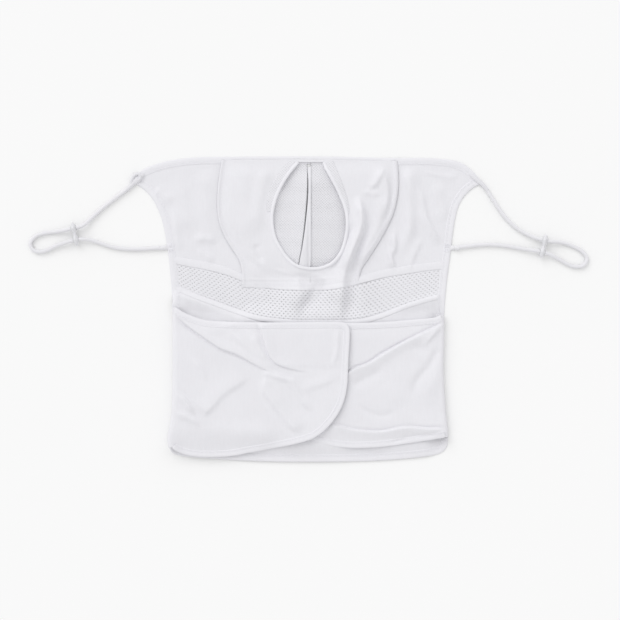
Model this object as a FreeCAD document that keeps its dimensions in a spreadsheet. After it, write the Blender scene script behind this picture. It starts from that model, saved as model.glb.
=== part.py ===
import FreeCAD, Part
import math
import os
import re
import Sketcher

from FreeCAD import Placement, Rotation, Vector

# A face-and-neck sun cover, laid flat with the wearer's side up. Millimetres, +Z up.
# The origin is on the ground under the middle of the garment; +Y runs from the neck to the top hem.
# From the ground up: the face panels, the mesh vent band and the neck panel lie in one layer; the mouth
# shield stands over the face panels; the right neck wing lies over the neck panel and the left wing on it.

os.makedirs("parts", exist_ok=True)
doc = FreeCAD.newDocument("sun_cover")
sheet = doc.addObject("Spreadsheet::Sheet", "sizes")

SIZES = (
    ("knit", 1.0, "one layer of stretch knit"),
    ("hem_thick", 1.6, "a turned and stitched hem"),
    ("hem_width", 6.6, "width of a hem"),
    ("wing_hem_width", 5.5, "width of a wing's hem"),
    ("wing_hem_extra", 0.4, "how far a wing's hem stands past its knit"),
    ("half_height", 129.5, "half of the garment's height"),
    ("shoulder_x", 100.0, "where the straight top edge ends"),
    ("shoulder_inner_x", 98.0, "the same, on the hem's inner edge"),
    ("top_curve_x", 128.0, "middle of the top edge's rounded end"),
    ("top_curve_drop", 6.0, "its drop below the top edge"),
    ("top_curve_inner_x", 124.5, "the same, on the hem's inner edge"),
    ("top_curve_inner_drop", 12.0, "its drop below the top edge"),
    ("tip_x", 145.0, "ear corner"),
    ("tip_top_y", 111.5, "ear corner, upper end"),
    ("tip_low_y", 104.5, "ear corner, lower end"),
    ("tip_inner_x", 138.5, "ear corner, inside the hems"),
    ("tip_inner_y", 107.5, "ear corner, inside the hems"),
    ("armhole_mid_x", 128.5, "middle of the curve under the ear corner"),
    ("armhole_mid_y", 87.0, "middle of the curve under the ear corner"),
    ("armhole_inner_x", 122.3, "the same, on the hem's inner edge"),
    ("armhole_inner_y", 89.5, "the same, on the hem's inner edge"),
    ("armhole_low_x", 121.5, "lower end of that curve"),
    ("armhole_low_y", 60.0, "lower end of that curve"),
    ("side_x", 115.9, "half of the flat width of the neck"),
    ("side_y", 10.0, "where the side edge turns straight"),
    ("side_hem_end_y", -3.0, "lower end of the side hems"),
    ("seam_half", 1.5, "half of the centre front seam's width"),
    ("vent_side_y", 39.0, "top of the vent band's upper seam, at the sides"),
    ("vent_mid_y", 25.0, "the same, across the middle"),
    ("vent_mid_x", 40.0, "where the band turns level"),
    ("vent_seam", 5.0, "height of the vent band's upper seam"),
    ("vent_low_seam", 4.0, "height of the vent band's lower seam"),
    ("mesh_side_y", 13.0, "lower edge of the mesh, at the sides"),
    ("mesh_mid_y", -9.0, "the same, across the middle"),
    ("fold_top_y", -6.0, "upper end of the side folds"),
    ("fold_low_y", -117.5, "lower end of the neck panel's side folds"),
    ("fold_gap", 0.8, "clearance of each half of a fold from its hinge line"),
    ("left_wing_top", 9.9, "top of the left wing's knit"),
    ("right_wing_top", 7.2, "top of the right wing's knit"),
    ("bottom_side_y", -124.0, "bottom edge at the sides"),
    ("bottom_hem_x", 110.0, "half length of the bottom hem"),
    ("wing_end", 35.5, "free end of a wing, past the middle"),
    ("wing_top_y", -12.0, "upper edge of a wing at its free end"),
    ("wing_corner", 5.5, "rounded corner of a wing"),
    ("wing_end_low_y", -60.0, "where a wing's end starts to curve"),
    ("wing_curve_x", 22.5, "middle of that curve"),
    ("wing_curve_y", -96.0, "middle of that curve"),
    ("left_low_x", -18.0, "lower end of the left wing's curve"),
    ("left_low_y", -118.0, "lower end of the left wing's curve"),
    ("left_edge_x", -55.0, "where the left wing's edge turns level"),
    ("left_edge_y", -125.0, "where the left wing's edge turns level"),
    ("left_side_low_y", -124.0, "left wing's lower edge at the fold"),
    ("right_low_x", 12.0, "lower end of the right wing's curve"),
    ("right_low_y", -115.5, "lower end of the right wing's curve"),
    ("right_edge_x", 42.0, "where the right wing's edge turns up"),
    ("right_edge_y", -118.5, "where the right wing's edge turns up"),
    ("right_side_low_y", -110.5, "right wing's lower edge at the fold"),
    ("patch_half", 28.0, "half length of the fastener patches"),
    ("patch_top_y", -18.5, "upper edge of the fastener patches"),
    ("patch_width", 31.0, "width of the fastener patches"),
    ("patch_thick", 0.7, "one fastener patch"),
    ("shield_top_x", 75.0, "half width of the mouth shield at the top hem"),
    ("shield_mid_x", 78.0, "half width of the mouth shield at its widest"),
    ("shield_mid_y", 84.0, "height of its widest place"),
    ("shield_low_x", 58.0, "half width where its sides meet its bottom"),
    ("shield_low_y", 38.0, "height of that place"),
    ("shield_side_x", 72.0, "a point on the shield's lower side"),
    ("shield_side_y", 59.0, "a point on the shield's lower side"),
    ("shield_bottom_y", 26.5, "bottom edge of the mouth shield"),
    ("shield_round", 8.0, "how far its bottom edge stops short of its sides"),
    ("shield_top", 5.0, "top face of the mouth shield"),
    ("shield_rim", 4.0, "width of the shield's sewn rim"),
    ("drop_x", 2.0, "middle of the teardrop opening"),
    ("drop_half", 32.0, "half width of the opening at its shoulders"),
    ("drop_side_y", 78.0, "height of those shoulders"),
    ("drop_bottom_y", 35.0, "bottom of the opening"),
    ("drop_upper_half", 21.5, "half width of the opening, further up"),
    ("drop_upper_y", 101.0, "height of that place"),
    ("drop_top_half", 10.0, "half width of the opening at its top"),
    ("drop_top_y", 118.0, "top of the opening"),
    ("binding", 3.0, "width of the rolled binding"),
    ("binding_thick", 2.2, "height of the rolled binding"),
    ("facing", 5.0, "widest part of the mesh facing"),
    ("facing_rise", 1.0, "how far above the rim's middle the facing is widest"),
    ("cord", 3.2, "diameter of the ear cords"),
    ("cord_low_y", 52.0, "where the cords meet the side hems"),
    ("tack", 6.0, "height of a bar tack along the hem"),
    ("tack_out", 4.0, "how far a bar tack stands past the hem"),
    ("tab_thick", 3.6, "folded tab at the ear corner"),
    ("tab_shoulder_x", 3.5, "the tab's shoulder, out from the ear corner"),
    ("tab_shoulder_drop", 0.5, "its drop below the ear corner's upper end"),
    ("tab_end_x", 9.0, "upper corner of the tab's end, out from the ear corner"),
    ("tab_end_drop", 7.5, "its drop below the ear corner's upper end"),
    ("tab_low_x", 5.0, "lower corner of the tab's end, out from the ear corner"),
    ("tab_low_drop", 11.0, "its drop below the ear corner's upper end"),
    ("lock_half", 10.1, "half length of a cord lock"),
    ("lock_eye", 5.0, "from a cord lock's middle to each eye"),
    ("lock_bore", 2.05, "radius of the eyes"),
    ("lock_wide", 3.2, "half width of a cord lock at its eyes"),
    ("lock_waist", 1.6, "half width of a cord lock at its waist"),
    ("lock_tip", 1.2, "half width of a cord lock at its tips"),
    ("lock_tall", 8.0, "height of a cord lock"),
    ("lock_round", 1.0, "rounded edges of a cord lock"),
    ("lock_flat", 0.6, "half length of its flats, at the eyes and at the waist"),
    ("lock_gap", 0.05, "clearance of the cord locks from the ground"),
    ("lock_turn", 12.2, "turn of each cord lock from square, in degrees"),
    ("lock_left_x", -196.8, "left cord lock"),
    ("lock_left_y", 63.5, "left cord lock"),
    ("lock_right_x", 200.5, "right cord lock"),
    ("lock_right_y", 53.3, "right cord lock"),
)
for row, (alias, value, note) in enumerate(SIZES, start=1):
    sheet.set(f"A{row}", alias)
    sheet.set(f"B{row}", str(value))
    sheet.set(f"C{row}", note)
    sheet.setAlias(f"B{row}", alias)
doc.recompute()

NAMES = re.compile(r"\b(" + "|".join(alias for alias, _, _ in SIZES) + r")\b")

# A quarter circle's middle stays this share of its radius short of the corner it rounds, along each axis.
CORNER_SHARE = 1 - math.sqrt(0.5)
# The way into a wing from the middle of its end's curve, and how far a hem's inner edge shifts sideways
# for each millimetre it is set in, where that curve ends.
CURVE_INWARD_X, CURVE_INWARD_Y = 0.85, 0.6
CURVE_END_SHIFT = 0.25
VOLUME_SLACK = 0.01  # how far a cord's volume may be from its length times its section, as a share
TOUCHING = 1e-6  # lengths below this count as nothing


def bound(expression):
    """The expression with each of the sheet's names written as the sheet's cell."""
    return NAMES.sub(r"sizes.\1", str(expression))


def value_of(expression):
    return float(sheet.evalExpression(bound(expression)))


class Via(tuple):
    """A point that the curve between its two neighbours in an outline goes through."""


def mirrored(outline):
    """The outline on the other side of the garment's middle line."""
    return [type(token)((f"-({token[0]})", token[1])) for token in outline]


def shifted(outline, centre):
    """The outline moved along X to a new middle."""
    return [type(token)((f"{centre} + ({token[0]})", token[1])) for token in outline]


def sketch_on(body, role, name, level=None):
    """An empty sketch on one of the body's own origin planes, level millimetres off it."""
    sketch = body.newObject("Sketcher::SketchObject", name)
    plane = next(f for f in body.Origin.OriginFeatures if f.Role == role)
    sketch.AttachmentSupport = [(plane, "")]
    sketch.MapMode = "FlatFace"
    if level is not None:
        sketch.setExpression("AttachmentOffset.Base.z", bound(level))
    return sketch


def hold(sketch, geometry, point, token, label):
    """Ties one point of a sketch to its two expressions."""
    for axis, expression in zip("XY", token):
        where = value_of(expression)
        index = sketch.addConstraint(
            Sketcher.Constraint("Distance" + axis, -1, 1, geometry, point, where)
        )
        sketch.renameConstraint(index, f"{label}_{axis.lower()}")
        sketch.setExpression(f"Constraints.{label}_{axis.lower()}", bound(expression))


def draw(sketch, outline):
    """Draws a closed outline of points, with an arc wherever a Via lies between two points."""
    ends = []
    count = len(outline)
    for number, token in enumerate(outline):
        if isinstance(token, Via):
            continue
        after = outline[(number + 1) % count]
        goal = outline[(number + 2) % count] if isinstance(after, Via) else after
        start, finish = (Vector(value_of(t[0]), value_of(t[1]), 0) for t in (token, goal))
        if isinstance(after, Via):
            middle = Vector(value_of(after[0]), value_of(after[1]), 0)
            edge = sketch.addGeometry(Part.Arc(start, middle, finish))
            first = 1 if sketch.getPoint(edge, 1).distanceToPoint(start) < TOUCHING else 2
            mark = sketch.addGeometry(Part.Point(middle), True)
            sketch.addConstraint(Sketcher.Constraint("PointOnObject", mark, 1, edge))
            hold(sketch, mark, 1, after, f"via{number}")
        else:
            edge = sketch.addGeometry(Part.LineSegment(start, finish))
            first = 1
        hold(sketch, edge, first, token, f"corner{number}")
        ends.append((edge, first, 3 - first))
    for (edge, _, last), (following, first, _) in zip(ends, ends[1:] + ends[:1]):
        sketch.addConstraint(Sketcher.Constraint("Coincident", edge, last, following, first))


def new_body(label):
    body = doc.addObject("PartDesign::Body", label)
    body.Label = label
    return body


def pad(body, outline, low, high, role="XY_Plane"):
    """Pads an outline from one level to another, measured along the plane's normal."""
    number = len(body.Group)
    sketch = sketch_on(body, role, f"{body.Label}_outline{number}", low)
    draw(sketch, outline)
    feature = body.newObject("PartDesign::Pad", f"{body.Label}_pad{number}")
    feature.Profile = sketch
    feature.setExpression("Length", bound(f"({high}) - ({low})"))
    return feature


def pocket(body, outline, low, high):
    """Cuts an outline out of the body between two levels, and makes sure that it cut something."""
    doc.recompute()
    before = body.Shape.Volume
    number = len(body.Group)
    sketch = sketch_on(body, "XY_Plane", f"{body.Label}_cut{number}", high)
    draw(sketch, outline)
    feature = body.newObject("PartDesign::Pocket", f"{body.Label}_pocket{number}")
    feature.Profile = sketch
    feature.setExpression("Length", bound(f"({high}) - ({low})"))
    doc.recompute()
    if body.Shape.Volume > before - 1:
        raise RuntimeError(f"the cut in {body.Label} removed nothing")
    return feature


def plate(label, outline, low, high):
    body = new_body(label)
    pad(body, outline, low, high)
    return body


# --- The ground layer: hems, face panels, vent band and neck panel ---

TOP_Y = "half_height"
TOP_INNER_Y = "half_height - hem_width"
SIDE_INNER_X = "side_x - hem_width"
CORNER = [("tip_x", "tip_top_y"), ("tip_x", "tip_low_y"), ("tip_inner_x", "tip_inner_y")]
TOP_OUTER = [("shoulder_x", TOP_Y), Via(("top_curve_x", "half_height - top_curve_drop"))]
TOP_INNER = [
    Via(("top_curve_inner_x", "half_height - top_curve_inner_drop")),
    ("shoulder_inner_x", TOP_INNER_Y),
]
ARMHOLE_INNER = [
    ("tip_inner_x", "tip_inner_y"),
    Via(("armhole_inner_x", "armhole_inner_y")),
    ("armhole_low_x - hem_width", "armhole_low_y"),
]


def side_hem_x(height):
    """The outer edge of a side hem on its straight, slanted stretch."""
    slant = "(armhole_low_x - side_x) / (armhole_low_y - side_y)"
    return f"side_x + ({height} - side_y) * {slant}"


def on_both_sides(right_half):
    """A closed outline from its right half, listed from the top to the bottom."""
    return right_half + mirrored(right_half)[::-1]


def top_hem():
    right = TOP_OUTER + CORNER + TOP_INNER
    left = mirrored(right)[::-1]
    return plate("top_hem", right + left, "0", "hem_thick")


def side_hem(label, turn):
    outer = [
        ("tip_inner_x", "tip_inner_y"),
        ("tip_x", "tip_low_y"),
        Via(("armhole_mid_x", "armhole_mid_y")),
        ("armhole_low_x", "armhole_low_y"),
        ("side_x", "side_y"),
        ("side_x", "side_hem_end_y"),
    ]
    inner = [(SIDE_INNER_X, "side_hem_end_y"), (SIDE_INNER_X, "side_y")] + ARMHOLE_INNER[:0:-1]
    return plate(label, turn(outer + inner), "0", "hem_thick")


def vent_line(side_y, mid_y):
    """A line across the garment that is level in the middle and rises to both sides, left to right."""
    inner_x = f"{side_hem_x(side_y)} - hem_width"
    right = [("vent_mid_x", mid_y), (inner_x, side_y)]
    return mirrored(right)[::-1] + right


SEAM_TOP = vent_line("vent_side_y", "vent_mid_y")
MESH_TOP = vent_line("(vent_side_y - vent_seam)", "vent_mid_y - vent_seam")
MESH_LOW = vent_line("mesh_side_y", "mesh_mid_y")
LOW_SEAM_Y = "mesh_side_y - vent_low_seam"
LOW_SEAM = [("vent_mid_x", "mesh_mid_y - vent_low_seam"), (SIDE_INNER_X, LOW_SEAM_Y)]


def face_panel(label, turn):
    outline = [("seam_half", TOP_INNER_Y), TOP_INNER[1], TOP_INNER[0]]
    outline += ARMHOLE_INNER
    outline += [SEAM_TOP[3], SEAM_TOP[2], ("seam_half", "vent_mid_y")]
    return plate(label, turn(outline), "0", "knit")


def centre_front_seam():
    right = [("seam_half", TOP_INNER_Y), ("seam_half", "vent_mid_y")]
    return plate("centre_front_seam", on_both_sides(right), "0", "hem_thick")


def vent_seam_upper():
    return plate("vent_seam_upper", SEAM_TOP + MESH_TOP[::-1], "0", "hem_thick")


def mesh_vent_band():
    return plate("mesh_vent_band", MESH_TOP + MESH_LOW[::-1], "0", "knit")


def vent_seam_lower():
    right = MESH_LOW[2:] + [(SIDE_INNER_X, "side_y"), LOW_SEAM[1], LOW_SEAM[0]]
    return plate("vent_seam_lower", right + mirrored(right)[::-1], "0", "hem_thick")


def fold_x(top):
    """Where a side fold leaves the flat cloth: the fold's height is its diameter."""
    return f"side_x - ({top}) / 2"


def side_fold(body, mirror, top, upper, start_y, end_y):
    """The upper or lower half of a side fold: a slope from the flat cloth to the fold's outermost line,
    which is the hinge line. Opened flat, the two halves make a low ridge and stay clear of each other."""
    radius = f"({top}) / 2"
    way = 1 if upper else -1
    outline = [
        (fold_x(top), f"{radius} + {way} * {radius}"),
        ("side_x - fold_gap", f"{radius} + {way} * fold_gap"),
        ("side_x - fold_gap - knit", f"{radius} + {way} * fold_gap"),
        (fold_x(top), f"{radius} + {way} * ({radius} - knit)"),
    ]
    if mirror:
        outline = mirrored(outline)
    # The plane's normal is -Y, so a level is the height on the garment with its sign changed.
    pad(body, outline, f"-({start_y})", f"-({end_y})", role="XZ_Plane")


def neck_panel():
    body = new_body("neck_panel")
    left_x, right_x = f"-({fold_x('left_wing_top')})", fold_x("right_wing_top")
    outline = mirrored(LOW_SEAM)[::-1] + LOW_SEAM
    outline += [(SIDE_INNER_X, "side_hem_end_y"), (right_x, "side_hem_end_y"), (right_x, "fold_low_y")]
    outline += [("bottom_hem_x", "bottom_side_y + hem_width")]
    outline += [Via(("0", "hem_width - half_height"))]
    outline += [("-bottom_hem_x", "bottom_side_y + hem_width")]
    outline += [(left_x, "fold_low_y"), (left_x, "side_hem_end_y"), (f"-({SIDE_INNER_X})", "side_hem_end_y")]
    pad(body, outline, "0", "knit")
    side_fold(body, True, "left_wing_top", False, "fold_top_y", "fold_low_y")
    side_fold(body, False, "right_wing_top", False, "fold_top_y", "fold_low_y")
    return body


def bottom_hem():
    upper = [
        ("-bottom_hem_x", "bottom_side_y + hem_width"),
        Via(("0", "hem_width - half_height")),
        ("bottom_hem_x", "bottom_side_y + hem_width"),
    ]
    lower = [("bottom_hem_x", "bottom_side_y"), Via(("0", "-half_height")), ("-bottom_hem_x", "bottom_side_y")]
    return plate("bottom_hem", upper + lower, "0", "hem_thick")


# --- The mouth shield and its teardrop opening ---


def shield_outline(inset):
    right = [
        (f"shield_top_x - {inset}", f"{TOP_INNER_Y} - {inset}"),
        (f"shield_mid_x - {inset}", "shield_mid_y"),
        Via((f"shield_side_x - {inset}", "shield_side_y")),
        (f"shield_low_x - {inset}", f"shield_low_y + {inset} / 2"),
        (f"shield_low_x - {inset} - shield_round", f"shield_bottom_y + {inset}"),
    ]
    return on_both_sides(right)


def teardrop_side(grow):
    """The right half of the opening's rim, from the top down to its shoulder."""
    return [
        (f"drop_top_half + {grow}", "drop_top_y"),
        Via((f"drop_upper_half + {grow}", "drop_upper_y")),
        (f"drop_half + {grow}", "drop_side_y"),
    ]


def teardrop_path(grow):
    """The opening's rim from its top right, round the bottom, to its top left."""
    side = teardrop_side(grow)
    path = side + [Via(("0", f"drop_bottom_y - {grow}"))] + mirrored(side)[::-1]
    return shifted(path, "drop_x")


def mouth_shield():
    body = new_body("mouth_shield")
    pad(body, shield_outline("0"), "hem_thick", "shield_top")
    pocket(body, shield_outline("shield_rim"), "hem_thick", "shield_top - knit")
    pocket(body, teardrop_path("binding"), "hem_thick", "shield_top")
    return body


BINDING_LOW = "shield_top - knit / 2 - binding_thick / 2"


def opening_binding():
    outline = teardrop_path("binding") + teardrop_path("0")[::-1]
    return plate("opening_binding", outline, BINDING_LOW, f"{BINDING_LOW} + binding_thick")


def opening_facing():
    """A crescent of mesh that shows inside the opening's upper right rim."""
    rim = teardrop_side("0")
    outline = rim + [Via(("drop_upper_half - facing", "drop_upper_y + facing_rise"))]
    return plate("opening_facing", shifted(outline, "drop_x"), "shield_top - knit", "shield_top")


# --- The neck wings, their hems and the fastener patches ---


def wing_edge(side, inset):
    """A wing's free edge from its top at the fold, round the free end, to its bottom at the fold.
    The wings are named by the side they are sewn to; each one reaches past the middle."""
    name = "left" if side < 0 else "right"
    start = fold_x(f"{name}_wing_top")
    end = f"wing_end - ({inset})"
    corner = f"wing_corner * {1 - CORNER_SHARE}"
    path = [
        (f"-({start})", f"fold_top_y - ({inset})"),
        (f"{end} - wing_corner", f"wing_top_y - ({inset})"),
        Via((f"{end} - wing_corner + {corner}", f"wing_top_y - ({inset}) - wing_corner + {corner}")),
        (end, f"wing_top_y - ({inset}) - wing_corner"),
        (end, "wing_end_low_y"),
        Via(
            (
                f"wing_curve_x - {CURVE_INWARD_X} * ({inset})",
                f"wing_curve_y + {CURVE_INWARD_Y} * ({inset})",
            )
        ),
    ]
    if side > 0:
        path = mirrored(path)
    slope = 1 if side < 0 else -1
    path += [
        (f"{name}_low_x - {CURVE_END_SHIFT * slope} * ({inset})", f"{name}_low_y + ({inset})"),
        (f"{name}_edge_x", f"{name}_edge_y + ({inset})"),
        (f"{slope} * -({start})", f"{name}_side_low_y + ({inset})"),
    ]
    return path


def neck_wing(label, side):
    name = "left" if side < 0 else "right"
    top = f"{name}_wing_top"
    body = new_body(label)
    pad(body, wing_edge(side, "wing_hem_width"), f"{top} - knit", top)
    side_fold(body, side < 0, top, True, "fold_top_y", f"{name}_side_low_y")
    return body


def wing_hem(label, side, low, high):
    outline = wing_edge(side, "0") + wing_edge(side, "wing_hem_width")[::-1]
    return plate(label, outline, low, high)


def fastener_patch(label, low):
    right = [("patch_half", "patch_top_y"), ("patch_half", "patch_top_y - patch_width")]
    return plate(label, on_both_sides(right), low, f"({low}) + patch_thick")


# --- The ear cords, their tabs, bar tacks and locks ---


def cord_tab(label, turn):
    """The folded tab that holds the cord's upper end. Its slanted end faces along the cord."""
    outline = [
        ("tip_x", "tip_top_y"),
        ("tip_x + tab_shoulder_x", "tip_top_y - tab_shoulder_drop"),
        ("tip_x + tab_end_x", "tip_top_y - tab_end_drop"),
        ("tip_x + tab_low_x", "tip_top_y - tab_low_drop"),
        ("tip_x", "tip_low_y"),
    ]
    return plate(label, turn(outline), "0", "tab_thick")


def cord_bartack(label, turn):
    """The bar tack on the side hem's edge, where the cord's lower end is sewn in."""
    high, low = "(cord_low_y + tack / 2)", "(cord_low_y - tack / 2)"
    out = f"{side_hem_x('cord_low_y')} + tack_out"
    outline = [(side_hem_x(high), high), (out, high), (out, low), (side_hem_x(low), low)]
    return plate(label, turn(outline), "0", "tab_thick")


def cord_lock(label, side):
    """A two-eyed slider: two diamonds joined at a waist, with an eye through each, along X."""
    name = "left" if side < 0 else "right"
    body = new_body(label)
    right = [
        ("lock_tip", "lock_half"),
        ("lock_wide", "lock_eye + lock_flat"),
        ("lock_wide", "lock_eye - lock_flat"),
        ("lock_waist", "lock_flat"),
        ("lock_waist", "-lock_flat"),
        ("lock_wide", "lock_flat - lock_eye"),
        ("lock_wide", "-lock_flat - lock_eye"),
        ("lock_tip", "-lock_half"),
    ]
    solid = pad(body, on_both_sides(right), "-lock_tall / 2", "lock_tall / 2")
    doc.recompute()
    reach = value_of("lock_tall / 2")
    flat_edges = [
        f"Edge{number}"
        for number, edge in enumerate(solid.Shape.Edges, start=1)
        if edge.BoundBox.ZLength < TOUCHING and abs(abs(edge.BoundBox.ZMax) - reach) < TOUCHING
    ]
    rounded = body.newObject("PartDesign::Fillet", f"{label}_round")
    rounded.Base = (solid, flat_edges)
    rounded.setExpression("Radius", bound("lock_round"))
    eyes = sketch_on(body, "YZ_Plane", f"{label}_eyes")
    for number, way in enumerate((1, -1)):
        middle = Vector(value_of(f"{way} * lock_eye"), 0, 0)
        eye = eyes.addGeometry(Part.Circle(middle, Vector(0, 0, 1), value_of("lock_bore")))
        hold(eyes, eye, 3, (f"{way} * lock_eye", "0"), f"eye{number}")
        size = eyes.addConstraint(Sketcher.Constraint("Radius", eye, value_of("lock_bore")))
        eyes.renameConstraint(size, f"bore{number}")
        eyes.setExpression(f"Constraints.bore{number}", bound("lock_bore"))
    doc.recompute()
    before = body.Shape.Volume
    bores = body.newObject("PartDesign::Pocket", f"{label}_bores")
    bores.Profile = eyes
    bores.Type = "ThroughAll"
    bores.Midplane = True
    doc.recompute()
    if body.Shape.Volume > before - 1:
        raise RuntimeError(f"the eyes of {label} removed nothing")
    body.setExpression("Placement.Base.x", bound(f"lock_{name}_x"))
    body.setExpression("Placement.Base.y", bound(f"lock_{name}_y"))
    body.setExpression("Placement.Base.z", bound("lock_tall / 2 + lock_gap"))
    turn = Rotation(Vector(0, 0, 1), -side * value_of("lock_turn"))
    body.Placement = Placement(body.Placement.Base, turn)
    return body


# Each cord's route by hand, from its tab at the ear corner, through the upper eye, round the loop, back
# through the lower eye and on to the bar tack. Its runs through the eyes are straight.
LEFT_ROUTE = (
    (-152.0, 102.25, 1.8),
    (-161.5, 95.0, 1.8),
    (-173.6, 85.8, 1.8),
    (-183.6, 76.4, 2.4),
    (-188.6, 71.2, 3.6),
    (-192.6, 69.53, 4.05),
    (-203.2, 67.23, 4.05),
    (-211.6, 65.6, 2.4),
    (-221.6, 64.9, 1.8),
    (-231.0, 62.0, 1.8),
    (-236.0, 55.2, 1.8),
    (-231.6, 48.6, 1.8),
    (-222.4, 48.6, 1.8),
    (-211.6, 54.4, 2.4),
    (-200.9, 57.5, 4.05),
    (-190.5, 59.73, 4.05),
    (-180.4, 58.0, 2.4),
    (-164.6, 52.0, 1.8),
    (-148.0, 50.6, 1.8),
    (-134.0, 51.4, 1.8),
    (-124.6, 52.0, 1.8),
)
RIGHT_ROUTE = (
    (152.0, 102.25, 1.8),
    (158.2, 92.4, 1.8),
    (166.2, 79.8, 1.8),
    (177.0, 68.8, 1.8),
    (188.8, 62.3, 2.6),
    (196.3, 59.33, 4.05),
    (206.9, 57.03, 4.05),
    (215.6, 57.0, 2.4),
    (226.2, 53.6, 1.8),
    (235.0, 48.4, 1.8),
    (238.6, 42.0, 1.8),
    (234.4, 35.8, 1.8),
    (224.6, 36.0, 1.8),
    (214.0, 42.4, 2.4),
    (204.7, 47.27, 4.05),
    (194.1, 49.57, 4.05),
    (183.6, 51.0, 2.4),
    (168.0, 54.0, 1.8),
    (151.0, 55.0, 1.8),
    (135.6, 53.2, 1.8),
    (124.6, 52.0, 1.8),
)
ARC_SHARE = 0.45  # how much of the shorter run each arc takes up


def cord_tube(label, route):
    """A round tube along straight runs joined by tangent arcs, each as large as its runs allow."""
    points = [Vector(*point) for point in route]
    edges = []
    radii = []
    at = points[0]
    for before, corner, after in zip(points, points[1:], points[2:]):
        came, leaves = corner - before, after - corner
        reach = ARC_SHARE * min(came.Length, leaves.Length)
        half_turn = came.getAngle(leaves) / 2
        radius = reach / math.tan(half_turn)
        radii.append(radius)
        came.normalize()
        leaves.normalize()
        start, end = corner - came * reach, corner + leaves * reach
        inward = (leaves - came).normalize()
        middle = corner + inward * radius * (1 / math.cos(half_turn) - 1)
        edges.append(Part.LineSegment(at, start).toShape())
        edges.append(Part.Arc(start, middle, end).toShape())
        at = end
    edges.append(Part.LineSegment(at, points[-1]).toShape())
    path = Part.Wire(edges)
    section_radius = value_of("cord / 2")
    section = Part.Wire(Part.Circle(points[0], points[1] - points[0], section_radius).toShape())
    tube = path.makePipeShell([section], True, False)
    expected = math.pi * section_radius**2 * path.Length
    print(f"{label}: {path.Length:.1f} mm, radii {[round(r, 1) for r in radii]}")
    if abs(tube.Volume / expected - 1) > VOLUME_SLACK:
        raise RuntimeError(f"{label} has volume {tube.Volume:.1f}, not {expected:.1f}")
    feature = doc.addObject("Part::Feature", label)
    feature.Label = label
    feature.Shape = tube
    feature.Placement = Placement()
    return feature


def as_drawn(outline):
    return outline


SUB_PARTS = [
    top_hem(),
    side_hem("side_hem_right", as_drawn),
    side_hem("side_hem_left", mirrored),
    face_panel("front_panel_right", as_drawn),
    face_panel("front_panel_left", mirrored),
    centre_front_seam(),
    vent_seam_upper(),
    mesh_vent_band(),
    vent_seam_lower(),
    neck_panel(),
    bottom_hem(),
    mouth_shield(),
    opening_binding(),
    opening_facing(),
    neck_wing("neck_wing_left", -1),
    neck_wing("neck_wing_right", 1),
    wing_hem("wing_hem_left", -1, "left_wing_top - knit - wing_hem_extra", "left_wing_top"),
    wing_hem("wing_hem_right", 1, "right_wing_top - knit", "right_wing_top + wing_hem_extra"),
    fastener_patch("hook_patch", "left_wing_top - knit - patch_thick"),
    fastener_patch("loop_patch", "right_wing_top"),
    cord_tab("cord_tab_right", as_drawn),
    cord_tab("cord_tab_left", mirrored),
    cord_bartack("cord_bartack_right", as_drawn),
    cord_bartack("cord_bartack_left", mirrored),
    cord_lock("cord_lock_left", -1),
    cord_lock("cord_lock_right", 1),
    cord_tube("ear_cord_left", LEFT_ROUTE),
    cord_tube("ear_cord_right", RIGHT_ROUTE),
]

doc.recompute()
for item in doc.Objects:
    if "Invalid" in item.State or "Error" in item.State:
        raise RuntimeError(f"{item.Label} failed: {item.State}")
for part in SUB_PARTS:
    if part.Shape.isNull() or not part.Shape.isValid():
        raise RuntimeError(f"{part.Label} has no valid shape")
    if len(part.Shape.Solids) != 1:
        raise RuntimeError(f"{part.Label} has {len(part.Shape.Solids)} solids")
for part in SUB_PARTS:
    part.Shape.exportStep(f"parts/{part.Label}.step")
    box = part.Shape.BoundBox
    print(
        f"{part.Label}: {part.Shape.Volume:.0f} mm3,"
        f" x {box.XMin:.1f} to {box.XMax:.1f}, y {box.YMin:.1f} to {box.YMax:.1f},"
        f" z {box.ZMin:.2f} to {box.ZMax:.2f}"
    )
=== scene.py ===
import math

import bpy
import numpy as np
from mathutils import Matrix, Vector
from mathutils.geometry import delaunay_2d_cdt


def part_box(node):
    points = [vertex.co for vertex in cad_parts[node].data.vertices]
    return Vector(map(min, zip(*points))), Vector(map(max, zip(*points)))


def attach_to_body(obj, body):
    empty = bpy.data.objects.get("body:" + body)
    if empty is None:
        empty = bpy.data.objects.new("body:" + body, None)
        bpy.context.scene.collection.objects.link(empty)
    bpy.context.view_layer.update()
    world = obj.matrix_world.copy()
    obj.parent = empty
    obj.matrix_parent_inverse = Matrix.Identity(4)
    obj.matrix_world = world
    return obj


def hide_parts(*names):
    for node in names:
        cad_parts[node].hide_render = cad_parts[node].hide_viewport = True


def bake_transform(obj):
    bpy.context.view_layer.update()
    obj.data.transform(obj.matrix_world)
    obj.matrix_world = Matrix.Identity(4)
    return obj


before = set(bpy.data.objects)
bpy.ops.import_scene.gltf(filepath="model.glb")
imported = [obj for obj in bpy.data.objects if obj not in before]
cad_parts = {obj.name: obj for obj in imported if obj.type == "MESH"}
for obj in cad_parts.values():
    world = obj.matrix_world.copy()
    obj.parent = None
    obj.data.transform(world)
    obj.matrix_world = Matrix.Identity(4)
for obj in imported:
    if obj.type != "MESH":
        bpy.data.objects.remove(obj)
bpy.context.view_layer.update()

# A white face-and-neck sun cover, laid flat with the wearer's side up, seen from straight above.
# Places on the cloth are in millimetres in the frame's X and Y; MM turns them into metres.
MM = 0.001
KNIT = 0.55  # thickness of one layer of cloth
HEM = 6.2  # width of the garment's turned hems
WING_HEM = 5.4  # width of the wings' hems

# --- Camera, light and floor ---

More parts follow.
